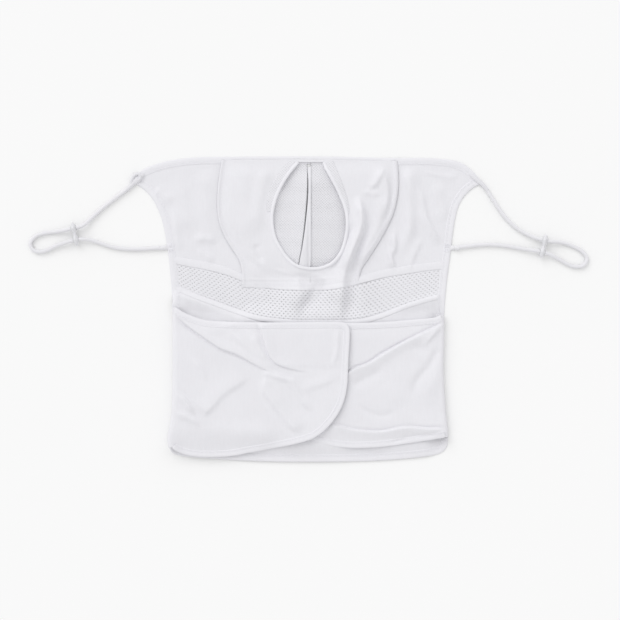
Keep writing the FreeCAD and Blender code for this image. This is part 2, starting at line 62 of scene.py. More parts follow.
PICTURE_WIDTH = 0.527  # what the picture spans at the floor, in metres
PICTURE_CENTRE = (0.00255, -0.00085)
LENS, SENSOR = 85.0, 36.0
ROOM_LIGHT = 0.87
KEY_FROM, KEY_STRENGTH, KEY_SPREAD = (-0.6, 0.85, 0.8), 0.86, 40


def add_camera():
    data = bpy.data.cameras.new("camera")
    data.lens, data.sensor_width = LENS, SENSOR
    camera = bpy.data.objects.new("camera", data)
    camera.location = (*PICTURE_CENTRE, PICTURE_WIDTH * LENS / SENSOR)
    bpy.context.scene.collection.objects.link(camera)
    bpy.context.scene.camera = camera


def add_light(name, direction, strength, spread):
    """A broad, even light from far away in a direction; spread is how wide it looks, in degrees."""
    data = bpy.data.lights.new(name, "SUN")
    data.energy, data.angle = strength, math.radians(spread)
    light = bpy.data.objects.new(name, data)
    light.rotation_euler = Vector(direction).to_track_quat("Z", "Y").to_euler()
    bpy.context.scene.collection.objects.link(light)


def add_world(strength):
    world = bpy.data.worlds.new("studio")
    world.use_nodes = True
    background = world.node_tree.nodes["Background"]
    background.inputs["Color"].default_value = (1.0, 1.0, 1.0, 1)
    background.inputs["Strength"].default_value = strength
    bpy.context.scene.world = world
    bpy.context.scene.view_settings.view_transform = "Standard"


add_camera()
add_world(ROOM_LIGHT)
add_light("key", KEY_FROM, KEY_STRENGTH, KEY_SPREAD)

# --- Lines and fields on the cloth ---


def smooth(points, step=1.0):
    """A smooth curve through given points, sampled about every step millimetres."""
    p = np.array(points, float)
    p = np.vstack([2 * p[0] - p[1], p, 2 * p[-1] - p[-2]])
    pieces = []
    for a, b, c, d in zip(p, p[1:], p[2:], p[3:]):
        count = max(1, round(float(np.linalg.norm(c - b)) / step))
        t = np.linspace(0, 1, count, endpoint=False)[:, None]
        pieces.append(
            0.5 * (2 * b + (c - a) * t + (2 * a - 5 * b + 4 * c - d) * t**2
                   + (3 * b - a - 3 * c + d) * t**3)
        )
    return np.vstack(pieces + [p[-2:-1]])


def evenly(path, spacing):
    """Points about every spacing along a path, and the path's direction at each."""
    steps = np.linalg.norm(np.diff(path, axis=0), axis=1)
    along = np.concatenate([[0], np.cumsum(steps)])
    count = max(2, round(along[-1] / spacing) + 1)
    at = np.linspace(0, along[-1], count)
    points = np.stack([np.interp(at, along, path[:, k]) for k in range(path.shape[1])], 1)
    ways = np.gradient(points, axis=0)
    return points, ways / np.linalg.norm(ways, axis=1)[:, None]


def to_left(ways):
    """Each flat direction turned a quarter to its left."""
    return np.stack([-ways[:, 1], ways[:, 0]], 1)


def inset(path, distance):
    """A flat path moved to its own left by distance."""
    ways = np.gradient(path, axis=0)
    return path + distance * to_left(ways / np.linalg.norm(ways, axis=1)[:, None])


def nearest(points, line):
    """Signed distance of each point from a line, positive on its left, and how far along it lies,
    0 to 1."""
    best = np.full(len(points), np.inf)
    side = np.zeros(len(points))
    where = np.zeros(len(points))
    lengths = np.linalg.norm(np.diff(line, axis=0), axis=1)
    starts = np.concatenate([[0], np.cumsum(lengths)])
    for a, b, length, start in zip(line, line[1:], lengths, starts):
        way = (b - a) / length
        away = points - a
        t = np.clip(away @ way, 0, length)
        gap = away - t[:, None] * way
        distance = np.hypot(gap[:, 0], gap[:, 1])
        nearer = distance < best
        best[nearer] = distance[nearer]
        side[nearer] = np.sign(way[0] * away[:, 1] - way[1] * away[:, 0])[nearer]
        where[nearer] = (start + t[nearer]) / starts[-1]
    return best * np.where(side == 0, 1, side), where


def ramp(t):
    """A soft step: 0 up to t = 0 and 1 from t = 1."""
    t = np.clip(t, 0, 1)
    return t * t * (3 - 2 * t)


def bell(t):
    """1 at t = 0, falling away softly on both sides."""
    return np.exp(-(t**2))


FOLD_REACH = 2.6  # the half widths out to which a fold is felt
FOLD_SWELL = 0.22  # how unevenly a fold's height runs along it


class Fold:
    """A ridge, or a valley with a negative height, along a given line on the cloth.
    left and right are its half widths on either side of someone walking along the line, and ends is
    how much of the line fades out at its start and its end."""

    def __init__(self, height, left, right, *points, ends=(0.3, 0.3)):
        self.line = smooth(points, 3.0)
        self.height, self.left, self.right, self.ends = height, left, right, ends
        reach = FOLD_REACH * max(left, right)
        self.low, self.high = self.line.min(0) - reach, self.line.max(0) + reach

    def at(self, points):
        height = np.zeros(len(points))
        close = np.all((points > self.low) & (points < self.high), axis=1)
        if close.any():
            distance, along = nearest(points[close], self.line)
            width = np.where(distance > 0, self.left, self.right)
            fade = ramp(along / self.ends[0]) * ramp((1 - along) / self.ends[1])
            start_x, start_y = self.line[0]
            swell = 1 + FOLD_SWELL * np.sin(9 * along + start_x) * np.sin(4.3 * along + start_y)
            height[close] = self.height * swell * fade * bell(distance / width)
        return height


RIPPLE_WAVES = 6
NUDGE, NUDGE_LENGTH = 1.8, 34  # how far a fold's line wanders, and over what length


def ripple(points, size, wavelength, seed):
    """A soft uneven wave over the cloth."""
    draw = np.random.default_rng(seed)
    total = np.zeros(len(points))
    for _ in range(RIPPLE_WAVES):
        angle, phase = draw.uniform(0, 2 * math.pi, 2)
        length = wavelength * draw.uniform(0.7, 1.5)
        way = [math.cos(angle), math.sin(angle)]
        total += np.sin(2 * math.pi / length * (points @ way) + phase)
    return size * total / RIPPLE_WAVES


def add_up(folds, points):
    """All the folds' heights together, on places nudged so that no fold runs quite true."""
    nudge = np.stack([ripple(points, NUDGE, NUDGE_LENGTH, seed) for seed in (31, 32)], 1)
    return sum((fold.at(points + nudge) for fold in folds), np.zeros(len(points)))


# --- Outlines, from the ear corners to the neck ---

TOP_EDGE = smooth([(-146.5, 110.5), (-141.5, 116.6), (-134, 120.8), (-125, 123.8), (-112, 126.8),
    (-92, 128.8), (-60, 129.2), (-20, 129.5), (15, 129.4), (50, 128.7), (76, 128.2), (100, 128.3),
    (116, 127.3), (126, 125.6), (133, 122.8), (140, 117.6), (146.5, 110)])
LEFT_EDGE = smooth([(-147, 106.5), (-141, 103.6), (-135.5, 99), (-130.5, 92.8), (-126.5, 85),
    (-123, 75.5), (-120.8, 66), (-119.2, 56), (-117.4, 44), (-115.9, 30), (-114.8, 16), (-114, 4),
    (-113.8, -8)])
RIGHT_EDGE = smooth([(147, 106), (141.5, 103.4), (136.2, 99), (131.5, 93), (128, 86), (125.9, 78),
    (124.4, 70), (123.2, 61), (122, 50), (120.4, 38), (118.8, 26), (117.4, 12), (116.6, 0),
    (116.2, -10)])
BAND_TOP = smooth([(-114, 46), (-105, 43.8), (-87.5, 40.6), (-69, 36), (-52, 29.5), (-36, 25),
    (-14, 23), (14, 23), (30, 25), (45, 28.5), (65, 33.5), (86, 37), (104, 39.6), (119, 41)])
BAND_LOW = smooth([(-112.5, 16.5), (-91, 7.8), (-73, 1.2), (-57, -4.6), (-39, -10), (-14, -13),
    (14, -13.4), (33, -13.4), (47, -12.2), (60, -8.6), (73, -3.8), (85, 0.8), (98, 5), (116.5, 10)])
BOTTOM_EDGE = smooth([(-117.6, -112), (-116.4, -119), (-111, -123.6), (-92, -126), (-62, -128),
    (-25, -129.4), (15, -129.5), (48, -129), (75, -127.6), (96, -125.6), (112, -122.8),
    (118.6, -117), (119.6, -109)])
SHIELD_LEFT = smooth([(-72.5, 127), (-74.6, 113), (-76, 100), (-76.2, 85), (-74.2, 72), (-69.3, 60),
    (-63, 49.8), (-57.6, 41), (-55.2, 31), (-55, 18)])
SHIELD_RIGHT = smooth([(76.5, 126.5), (77.6, 113), (77.2, 98.8), (73.8, 82.4), (67.5, 68.2),
    (59.3, 53.9), (51.4, 41.8), (46, 33), (43.5, 22)])
SHIELD_LOW = smooth([(-55, 18), (-35, 17.6), (-12, 17.4), (8, 18), (28, 20), (43.5, 22)])
RIM = smooth([(-7.5, 124.5), (-13, 118), (-19, 109.5), (-25.2, 97.5), (-28.8, 85), (-29.6, 74),
    (-27.6, 62), (-22.6, 51.6), (-15.8, 42.2), (-7.6, 36.4), (2.4, 34.4), (12.6, 35.2), (22, 39.8),
    (28.8, 48.4), (32.6, 60), (34, 72.3), (32.6, 84.5), (27.4, 98), (21.4, 109.8), (16.6, 118.5),
    (14, 124.5)], 0.8)
SLIT = smooth([(0.3, 121), (0.3, 109), (0, 98), (-1.1, 82.5), (-2.7, 66), (-4.6, 52), (-6.5, 41.5),
    (-8.6, 27)])
SEAM_X = 2.4  # the centre front seam


def heights_at(xs, *paths):
    """The y of each path, which runs from left to right, at each x."""
    return [np.interp(xs, path[:, 0], path[:, 1]) for path in paths]


# --- How high the cloth lies ---

GROUND_FOLDS = [
    Fold(8.0, 4.2, 15, (31.5, 35), (30.3, 27), (29.5, 17.4), (28.7, 11), (28, 4), (27, -4),
         (26, -14), ends=(0.25, 0.02)),
    Fold(1.5, 24, 24, (2, 125), (1, 90), (0, 60), (0, 34), ends=(0.2, 0.2)),
    Fold(1.5, 5, 4, (-21, 110), (-27.5, 92), (-29, 74), (-26.5, 60), (-19, 46.5), (-8, 37.5),
         ends=(0.2, 0.2)),
    Fold(-3.4, 5.0, 5.0, (17, 25), (12, 19), (5, 10), (-0.5, 3), (-2.5, -6), (-3, -14),
         ends=(0.25, 0.05)),
    Fold(6.2, 8.5, 18, (2, 26), (-3.5, 14), (-9.5, 4), (-12.5, -6), (-14, -16), ends=(0.35, 0.05)),
    Fold(1.4, 2.8, 2.8, (-7, 30), (-7, 23), (-6, 15), (-4, 8), ends=(0.25, 0.4)),
    Fold(2.2, 12, 3.6, (46.5, 31), (44, 22), (43.6, 12), (43.4, 0), (43, -14), ends=(0.2, 0.05)),
    Fold(3.2, 6, 4.5, (86, 122), (87, 104), (87, 88), (86.5, 72), (85, 58), (82, 44),
         ends=(0.15, 0.3)),
    Fold(2.3, 2.2, 5.0, (93, 104), (97.5, 93), (102, 79), (109, 62), (112, 52), ends=(0.25, 0.25)),
    Fold(1.4, 5, 6, (113, 112), (111, 98), (115, 84), (118, 70)),
    Fold(2.2, 1.6, 4.0, (74, 70), (75, 60), (75, 52), (71.5, 45), (72.5, 37), (74, 31),
         ends=(0.3, 0.2)),
    Fold(1.3, 2.4, 5.0, (98, 62), (93.5, 50), (88.5, 38), (86, 32)),
    Fold(1.0, 3, 4, (94, 117), (112, 114.5), (130, 110)),
    Fold(1.8, 10, 8, (-87, 121), (-86, 104), (-86, 86), (-82, 68), (-74, 52), ends=(0.2, 0.3)),
    Fold(1.5, 3.5, 3, (-98, 60), (-86, 58.5), (-74, 56), ends=(0.4, 0.4)),
    Fold(1.3, 5, 4, (-116, 88), (-113, 76), (-110.5, 62), (-108, 48)),
    Fold(1.2, 4, 6, (-128, 104), (-120, 96), (-113, 90)),
    Fold(1.1, 3, 3.5, (-95, 52), (-86, 45), (-77, 39), ends=(0.4, 0.3)),
    Fold(1.1, 8, 9, (-113, 112), (-107, 96), (-103, 80), (-103, 62)),
    Fold(2.4, 3.2, 8.0, (-114, 13), (-94, 6), (-76, 0), (-60, -6), (-46, -10.5), ends=(0.02, 0.15)),
    Fold(3.6, 6.0, 9.0, (-116, 3), (-108, -1), (-98, -6), (-84, -10), ends=(0.02, 0.5)),
    Fold(1.9, 4.0, 6.0, (52, -11.5), (63, -7.5), (77, -1.2), (90, 4), (115, 9.5), ends=(0.2, 0.05)),
]
SHIELD_FOLDS = [
    Fold(6.0, 2.6, 5.4, (42, 97), (45, 87), (46, 77), (45.4, 67), (42.6, 57), (36.5, 44),
         (32.5, 32), (30, 22), ends=(0.2, 0.02)),
    Fold(-1.8, 2.4, 2.4, (37.5, 74), (36.6, 66), (32, 52), (25, 39), (17.5, 30.5), ends=(0.2, 0.2)),
    Fold(-2.4, 3.0, 2.4, (50, 86), (50.5, 74), (48, 60), (41.5, 45), (37.5, 33), (36, 22),
         ends=(0.3, 0.05)),
    Fold(2.4, 2.4, 4, (66, 121), (62, 114), (57, 106), (51, 100), ends=(0.2, 0.4)),
    Fold(2.2, 2.2, 4, (64, 118), (67, 108), (68.5, 98), (67, 86), (62, 74), ends=(0.2, 0.4)),
    Fold(2.8, 6, 4, (56, 99), (61, 86), (61, 72), (56.5, 60), (50, 47), (44, 35), ends=(0.3, 0.2)),
    Fold(1.3, 3, 3, (45, 100), (54, 98), (64, 97), ends=(0.4, 0.4)),
    Fold(1.6, 9, 8, (-56, 124), (-55, 104), (-51, 80), (-43, 58), ends=(0.2, 0.3)),
    Fold(1.6, 5, 6, (-34, 122), (-39, 102), (-42, 80), (-36, 62), ends=(0.2, 0.3)),
    Fold(-1.5, 3.5, 3.5, (-54, 45), (-44, 35), (-35, 29), (-22, 26.5)),
    Fold(-1.1, 3, 3, (-44, 57), (-41.5, 48), (-38, 38)),
    Fold(1.3, 1.6, 1.8, (-31, 36), (-22, 31.5), (-12, 29), (0, 28), ends=(0.3, 0.4)),
    Fold(1.5, 1.6, 2.2, (2, 29.5), (10, 28.2), (19, 24.5), ends=(0.3, 0.2)),
]


SLIT_LIFT, SLIT_REACH = 2.4, 8.5  # how the panels rise towards the slit beside the centre seam
# The neck panel is puffed up towards the wings over it, within these places. Right of RIGHT_FROM
# only the right wing lies on it, lower down, so it rises less there.
PUFF, PUFF_LESS_RIGHT = 4.6, 1.5
PUFF_TOP, PUFF_SIDE, PUFF_LOW = 7, 111, -127
RIGHT_FROM, RIGHT_BLEND = 26, 14
ROOM, ROOM_LESS_RIGHT = 6.0, 1.4  # the free height under the wings
KEPT_OVER_ROOM = 0.15  # the share of a fold's height over that room that is kept
WINGS_FROM = 14  # the folds run out under the wings, from this far below the middle


def ground(points):
    """The top of the layer on the floor: face panels, vent band and neck panel."""
    points = np.asarray(points, float)
    x, y = points[:, 0], points[:, 1]
    lip, along = nearest(points, SLIT)
    height = add_up(GROUND_FOLDS, points) + ripple(points, 0.6, 44, 3)
    height += SLIT_LIFT * bell(lip / SLIT_REACH) * ramp(along / 0.2) * ramp((1 - along) / 0.05)
    right = ramp((x - RIGHT_FROM) / RIGHT_BLEND)
    tall = PUFF - PUFF_LESS_RIGHT * right
    top = PUFF_TOP * (1 - ramp((np.abs(x) - 45) / 20))
    puffed = tall * ramp((top - y) / 17) * ramp((PUFF_SIDE - np.abs(x)) / 12)
    puffed *= 0.25 + 0.75 * ramp((y - PUFF_LOW) / 14)
    height = np.maximum(height * (1 - ramp((-y - WINGS_FROM) / 16)), 0)
    height *= (1 - 0.25 * ramp((22 - y) / 30)) * (1 - 0.75 * puffed / tall)
    height += puffed
    room = ROOM - ROOM_LESS_RIGHT * right + 8 * ramp((y + 8) / 14)
    over = np.maximum(height - room, 0)
    return KNIT + 0.1 + height - (1 - KEPT_OVER_ROOM) * over


SHIELD_HUNG = 127  # the shield hangs from the top hem, below this line
SHIELD_LIFT = 2.7  # how far its middle stands over the face panels
RIM_LIFT, RIM_REACH = 0.5, 4.0  # how much more it stands at the opening's rim
SEAM_RIDGE, SEAM_DIP = 0.35, 0.38  # beside its sewn lower edge, and at the edge itself


def shield(points):
    """The top of the mouth shield: it stands over the face panels, is sewn down along its lower
    edge and rolls over at its two sides."""
    points = np.asarray(points, float)
    x, y = points[:, 0], points[:, 1]
    side = np.minimum(*(np.abs(nearest(points, edge)[0]) for edge in (SHIELD_LEFT, SHIELD_RIGHT)))
    sewn = np.abs(nearest(points, SHIELD_LOW)[0])
    hung = ramp((SHIELD_HUNG - y) / 15)
    off_seam = ramp(sewn / 8)
    lift = SHIELD_LIFT * ramp(side / 14) * ramp(sewn / 22) * (0.3 + 0.7 * hung)
    lift += RIM_LIFT * bell(nearest(points, RIM)[0] / RIM_REACH) * hung * off_seam
    full = 0.95 + 0.55 * ramp(x / 20)  # the rolled side is fuller on the right
    roll = full * bell((side - 1.3 * full) / (1.1 * full)) * off_seam
    roll += SEAM_RIDGE * bell((sewn - 7.2) / 0.7) - SEAM_DIP * bell(sewn / 1.5)
    folds = add_up(SHIELD_FOLDS, points) * ramp(side / 4) * (0.3 + 0.7 * hung)
    with_ground = ramp((48 - y) / 30)  # low down it follows the layer under it
    height = lift + folds * (1 - with_ground) + ripple(points, 0.42, 34, 11) * ramp(side / 5)
    under = ground(points) + 0.3 + 0.3 * ramp((y - 30) / 25)
    height += KNIT + 0.6 + (under - KNIT - 0.6) * with_ground
    # A soft maximum of the two keeps it off the layer under it.
    return under + np.logaddexp(0, (height - under) * 3) / 3 + roll


FOLD_AXIS = 115.4  # the hinge lines at the side folds
# How far out the edge of each side fold lies, -1 for the left and 1 for the right: y, then x.
FOLD_SIDES = {
    -1: smooth([(8, 114), (-20, 113.9), (-60, 113.9), (-84, 114.6), (-98, 116), (-108, 118.2),
                (-118, 117.4), (-128, 115)], 4),
    1: smooth([(8, 116.4), (-20, 116.2), (-50, 115.6), (-70, 116.4), (-91, 118), (-109, 119.8),
               (-122, 119)], 4),
}


class Wing:
    """A neck wing's cloth, worked out flat: a place on it is (across, y), where across is how far
    past the fold line it lies, positive on the wing and negative on the neck panel's side."""

    floor_gap, top_gap = 0.15, 0.2  # under the fold, and between its cloth and the top of the wing

    def __init__(self, side, top, folds, shape):
        self.side, self.folds, self.shape = side, folds, shape
        self.radius = (top - KNIT - self.floor_gap - self.top_gap) / 2
        self.middle = self.radius + KNIT + self.floor_gap
        self.quarter = math.pi / 2 * self.radius
        self.edge = FOLD_AXIS - self.radius

    def across(self, x):
        """The worked-out place of a point x millimetres from the garment's middle."""
        return x * -self.side + self.edge + self.quarter

    def flat(self, path):
        return np.stack([self.across(path[:, 0]), path[:, 1]], 1)

    def lift(self, places):
        """Wrinkles, in millimetres along the cloth's own normal. They begin past the fold."""
        x = (places[:, 0] - self.edge - self.quarter) * -self.side
        points = np.stack([x, places[:, 1]], 1)
        out = add_up(self.folds, points) + ripple(points, 0.42, 38, 20 + self.side)
        return (out + self.shape(points)) * ramp(places[:, 0] / (self.radius * 3) - 0.2)

    def place(self, places, height):
        """Points in space, height millimetres off the cloth's face at each place."""
        places = np.asarray(places, float)
        across, y = places[:, 0], places[:, 1]
        turn = np.clip(across / self.radius, -math.pi / 2, math.pi / 2)
        past = np.maximum(np.abs(across) - self.quarter, 0)
        line = FOLD_SIDES[self.side]
        bulge = (np.interp(-y, -line[:, 0], line[:, 1]) - FOLD_AXIS) * bell(past / 30)
        stand = self.radius + height + self.lift(places)
        x = self.edge + bulge - past + stand * np.cos(turn)
        return np.stack([self.side * x, y, self.middle + stand * np.sin(turn)], 1)


def plateau(points, low, high, soft):
    """1 inside a rectangle and 0 outside, with soft edges."""
    inside = np.minimum(points - low, high - points)
    return ramp(inside[:, 0] / soft + 0.5) * ramp(inside[:, 1] / soft + 0.5)


LEFT_CREASE = [(-115, -2), (-110, -5.6), (-102, -13.8), (-88.4, -23.7), (-74.8, -31.9),
    (-61.2, -38.2), (-47.6, -44.6), (-35, -50.9), (-24, -54.6)]
PATCH_EDGE = [(-41, -12), (-38.6, -18), (-35.6, -27), (-31, -40), (-25, -46), (-12, -50.5),
    (2, -53.5)]
LEFT_FOLDS = [
    Fold(2.0, 5.5, 0.9, *LEFT_CREASE, ends=(0.02, 0.25)),
    Fold(-1.2, 0.9, 1.3, *inset(smooth(LEFT_CREASE, 8), -1.3), ends=(0.02, 0.3)),
    Fold(1.7, 6.0, 0.9, *PATCH_EDGE, ends=(0.08, 0.35)),
    Fold(-0.9, 0.9, 1.2, *inset(smooth(PATCH_EDGE, 8), -1.2), ends=(0.05, 0.5)),
    Fold(1.2, 1.6, 4.0, (-45, -18), (-42.5, -25), (-37, -38), (-33, -46)),
    Fold(1.0, 3.5, 3.0, (-68, -17), (-58, -26), (-47, -35), (-40, -42)),
    Fold(0.9, 4.0, 5.0, (-96, -12), (-80, -17), (-66, -15), (-52, -16)),
    Fold(1.5, 2.6, 2.6, (-38, -53.5), (-28, -56.5), (-16, -60), (-9, -61), ends=(0.2, 0.3)),
    Fold(2.1, 8.0, 3.0, (-33, -56), (-35, -63), (-34.6, -69), (-28.2, -78), (-21, -88),
         (-12, -98.8), (-3, -106), ends=(0.12, 0.15)),
    Fold(1.4, 4.0, 2.2, (-18, -58), (-10, -68), (-3, -78), (5, -87), ends=(0.2, 0.3)),
    Fold(1.9, 3.0, 11.0, (-48, -55), (-66, -67), (-80, -80.6), (-89, -89.5), ends=(0.25, 0.12)),
    Fold(2.7, 2.0, 3.2, (-116, -68), (-109, -73.5), (-102.6, -78.5), (-98.5, -84), (-95, -92),
         ends=(0.05, 0.4)),
    Fold(2.2, 2.4, 3.0, (-116, -86), (-109, -88.6), (-99.8, -92.4), (-93.5, -96.5), (-89, -103),
         ends=(0.05, 0.4)),
    Fold(0.9, 5, 3, (-6, -68), (6, -65), (18, -60), (28, -53)),
    Fold(1.3, 8, 8, (-70, -100), (-46, -106), (-22, -110), ends=(0.4, 0.4)),
    Fold(0.9, 3, 3, (-100, -40), (-90, -50), (-84, -62), ends=(0.4, 0.4)),
    Fold(0.9, 2.0, 2.4, (24.5, -17), (25.5, -28), (25, -40), (22, -50), ends=(0.2, 0.3)),
]
RIGHT_CREASE = [(119, -10), (114.8, -12.6), (103.6, -17.9), (90.4, -24.1), (77.3, -30.2),
    (64.2, -38.1), (51, -46), (36.9, -53.1), (28, -58)]
RIGHT_LOW_CREASE = [(18, -97), (27, -100.2), (37.5, -102.9), (50.7, -103.7), (63.9, -102.9),
    (81.5, -101.1), (94.6, -100.2), (107.8, -102), (119, -105.8)]
RIGHT_FOLDS = [
    Fold(1.9, 5.5, 0.8, *RIGHT_CREASE, ends=(0.03, 0.1)),
    Fold(-1.3, 1.2, 0.9, *inset(smooth(RIGHT_CREASE, 8), -1.2), ends=(0.02, 0.1)),
    Fold(1.4, 1.2, 3.0, (118, -12), (112.2, -16), (103.4, -25.4), (98, -32), ends=(0.05, 0.4)),
    Fold(-0.9, 4.0, 4.0, (86, -33), (98, -33.5), (107, -33)),
    Fold(-1.6, 3.5, 3.5, (114, -31), (110.4, -36), (102.5, -48.3), (94.6, -58.8), (89.4, -69.4),
         (88, -79), ends=(0.15, 0.3)),
    Fold(1.0, 6.0, 4.0, (118, -46), (108, -58), (101, -70), (98, -84), ends=(0.2, 0.4)),
    Fold(-1.1, 4.0, 3.5, (66, -48.5), (50.7, -58.8), (37, -67), ends=(0.3, 0.2)),
    Fold(-1.0, 2.8, 2.8, (40, -80), (50, -86), (62, -89.4), (78, -88.5)),
    Fold(1.5, 0.9, 4.5, *RIGHT_LOW_CREASE, ends=(0.1, 0.03)),
    Fold(-0.9, 1.4, 0.9, *inset(smooth(RIGHT_LOW_CREASE, 8), 1.3), ends=(0.1, 0.03)),
    Fold(-0.7, 1.6, 1.6, (64, -114.5), (77, -111.5), (90.2, -107.6), (107.8, -104.5),
         ends=(0.3, 0.1)),
    Fold(0.9, 8, 8, (64, -62), (74, -74), (78, -86), ends=(0.4, 0.4)),
]
PATCH_LOW, PATCH_HIGH = np.array([-35.5, -48.5]), np.array([28.5, -16.5])
PATCH_PRESS = 0.45  # how far the fastener patch presses through
SINKS_ABOVE, LEFT_SINKS_BELOW, RIGHT_SINKS_BELOW = -26, -100, -98  # the wings' edges sink there


def left_shape(points):
    """The fastener patch pressing through the left wing, and the wing's edges sinking to the neck
    panel where the right wing doesn't hold them up."""
    x, y = points[:, 0], points[:, 1]
    low = 4.6 * ramp((LEFT_SINKS_BELOW - y) / 24) * (1 - ramp((x + 32) / 26))
    high = 1.6 * ramp((y - SINKS_ABOVE) / 18) * (1 - ramp((x + 40) / 18))
    return PATCH_PRESS * plateau(points, PATCH_LOW, PATCH_HIGH, 5.0) - low - high


def right_shape(points):
    y = points[:, 1]
    return -1.8 * ramp((RIGHT_SINKS_BELOW - y) / 18) - 1.0 * ramp((y - SINKS_ABOVE) / 16)


LEFT_WING = Wing(-1, 9.9, LEFT_FOLDS, left_shape)
RIGHT_WING = Wing(1, 7.0, RIGHT_FOLDS, right_shape)
LEFT_WING_EDGE = smooth([(-112, 1.5), (-104.9, -3.2), (-91.6, -8.2), (-77.4, -10.4), (-40, -11.4),
    (0, -11.2), (24, -11), (31.5, -12), (35.4, -16), (36, -22), (35, -40), (34.4, -54), (33.6, -66),
    (30.6, -79), (24.4, -91), (14.4, -102.6), (4.3, -109.4), (-8, -113.3), (-28.4, -117.8),
    (-48.8, -121.6), (-66, -124.6), (-88, -125.2), (-102, -123.2), (-109, -119.8), (-112, -117)])
RIGHT_WING_EDGE = smooth([(112, -5), (106, -7.5), (86, -9.4), (65.5, -11), (36, -12), (-10, -12.4),
    (-28, -12.6), (-34, -15), (-35.6, -21), (-35.4, -42), (-34.4, -60), (-30, -78), (-22, -92),
    (-10, -103), (4, -110.8), (14.5, -114.4), (28.7, -117), (45, -117.6), (65.5, -116.4),
    (85.9, -113.4), (104, -110.2), (113, -108.4)])


def on_ground(places, height):
    places = np.asarray(places, float)
    return np.column_stack([places, ground(places) + height])


def on_shield(places, height):
    places = np.asarray(places, float)
    return np.column_stack([places, shield(places) + height])


# --- Meshes ---


def volume(points, faces):
    """Six times the volume inside closed faces, negative where they face inwards."""
    total = 0.0
    for corners in (3, 4):
        chosen = np.array([f for f in faces if len(f) == corners])
        for k in range(1, corners - 1 if len(chosen) else 1):
            a, b, c = points[chosen[:, 0]], points[chosen[:, k]], points[chosen[:, k + 1]]
            total += float(np.einsum("ij,ij->", a, np.cross(b, c)))
    return total


def new_object(name, points, faces, material, uv):
    """A smooth-shaded mesh object. points are in millimetres; uv holds each point's place on the
    cloth."""
    points = np.asarray(points)
    if volume(points - points.mean(0), faces) < 0:
        faces = [face[::-1] for face in faces]
    mesh = bpy.data.meshes.new(name)
    mesh.from_pydata((points * MM).tolist(), [], [list(map(int, f)) for f in faces])
    mesh.validate()
    mesh.shade_smooth()
    layer = mesh.uv_layers.new(name="cloth")
    index = np.zeros(len(mesh.loops), int)
    mesh.loops.foreach_get("vertex_index", index)
    layer.data.foreach_set("uv", (np.asarray(uv, float) * MM)[index].ravel())
    mesh.materials.append(material)
    shape = bpy.data.objects.new(name, mesh)
    bpy.context.scene.collection.objects.link(shape)
    return shape


def boundary(faces):
    """The directed edges that only one face has."""
    edges = dict.fromkeys(edge for face in faces for edge in zip(face, face[1:] + face[:1]))
    return [(a, b) for a, b in edges if (b, a) not in edges]


def two_faced(name, places, faces, place, material, thick=KNIT):
    """Closed cloth: a face on the surface, a back thick millimetres under it, and a wall round the
    edge."""
    count = len(places)
    points = np.vstack([place(places, np.zeros(count)), place(places, np.full(count, -thick))])
    back = [[i + count for i in reversed(face)] for face in faces]
    wall = [[b, a, a + count, b + count] for a, b in boundary(faces)]
    return new_object(name, points, faces + back + wall, material, np.vstack([places, places]))


def inside(points, ring):
    """Which points lie inside a closed outline."""
    x, y = points[:, 0], points[:, 1]
    result = np.zeros(len(points), bool)
    for a, b in zip(ring, np.roll(ring, -1, axis=0)):
        crosses = (a[1] > y) != (b[1] > y)
        run = b[1] - a[1] if b[1] != a[1] else 1e-9
        result ^= crosses & (x < (b[0] - a[0]) * (y - a[1]) / run + a[0])
    return result


LINE_ROWS, LINE_GAP = 4, 0.45  # rows of points on each side of a crease, and their spacing
LINE_CLEAR = 2.2  # how far from a crease the even points stop


def triangulate(outline, spacing, hole=None, lines=()):
    """Triangles of even size inside an outline, with extra rows of points along lines."""
    low, high = outline.min(0), outline.max(0)
    xs = np.arange(low[0], high[0], spacing)
    ys = np.arange(low[1], high[1], spacing * 0.866)  # rows as in equal-sided triangles
    grid = np.stack(np.meshgrid(xs, ys), -1)
    grid[1::2, :, 0] += spacing / 2
    points = grid.reshape(-1, 2)
    for line in lines:
        near = np.abs(nearest(points, line)[0])
        middle = evenly(line, 0.8)[0]
        rows = [inset(middle, LINE_GAP * k) for k in range(-LINE_ROWS, LINE_ROWS + 1)]
        points = np.vstack([points[near > LINE_CLEAR]] + rows)
    rings = [outline] + ([hole] if hole is not None else [])

    def within(spots):
        return inside(spots, outline) & (True if hole is None else ~inside(spots, hole))

    keep = within(points)
    for ring in rings:
        keep &= np.abs(nearest(points, np.vstack([ring, ring[:1]]))[0]) > spacing * 0.45
    points = points[keep]
    loops = []
    for ring in rings:
        loops.append(list(range(len(points), len(points) + len(ring))))
        points = np.vstack([points, ring])
    flat = [Vector(p) for p in points.tolist()]
    verts, _, faces, *_ = delaunay_2d_cdt(flat, [], loops, 1, 1e-5, False)
    places = np.array([tuple(v) for v in verts])
    corners = np.array([list(face) for face in faces])
    corners = corners[within(places[corners].mean(1))]
    a, b, c = (places[corners[:, k]] for k in range(3))
    ab, ac = b - a, c - a
    turned = ab[:, 0] * ac[:, 1] - ab[:, 1] * ac[:, 0] < 0
    corners[turned] = corners[turned][:, ::-1]
    used = np.unique(corners)
    order = np.full(len(places), -1)
    order[used] = np.arange(len(used))
    return places[used], order[corners].tolist()


def ring_of(*paths):
    """One closed outline from paths that follow each other, with doubled points left out."""
    points = np.vstack(paths)
    gaps = np.linalg.norm(points - np.roll(points, 1, axis=0), axis=1)
    return points[gaps > 0.2]


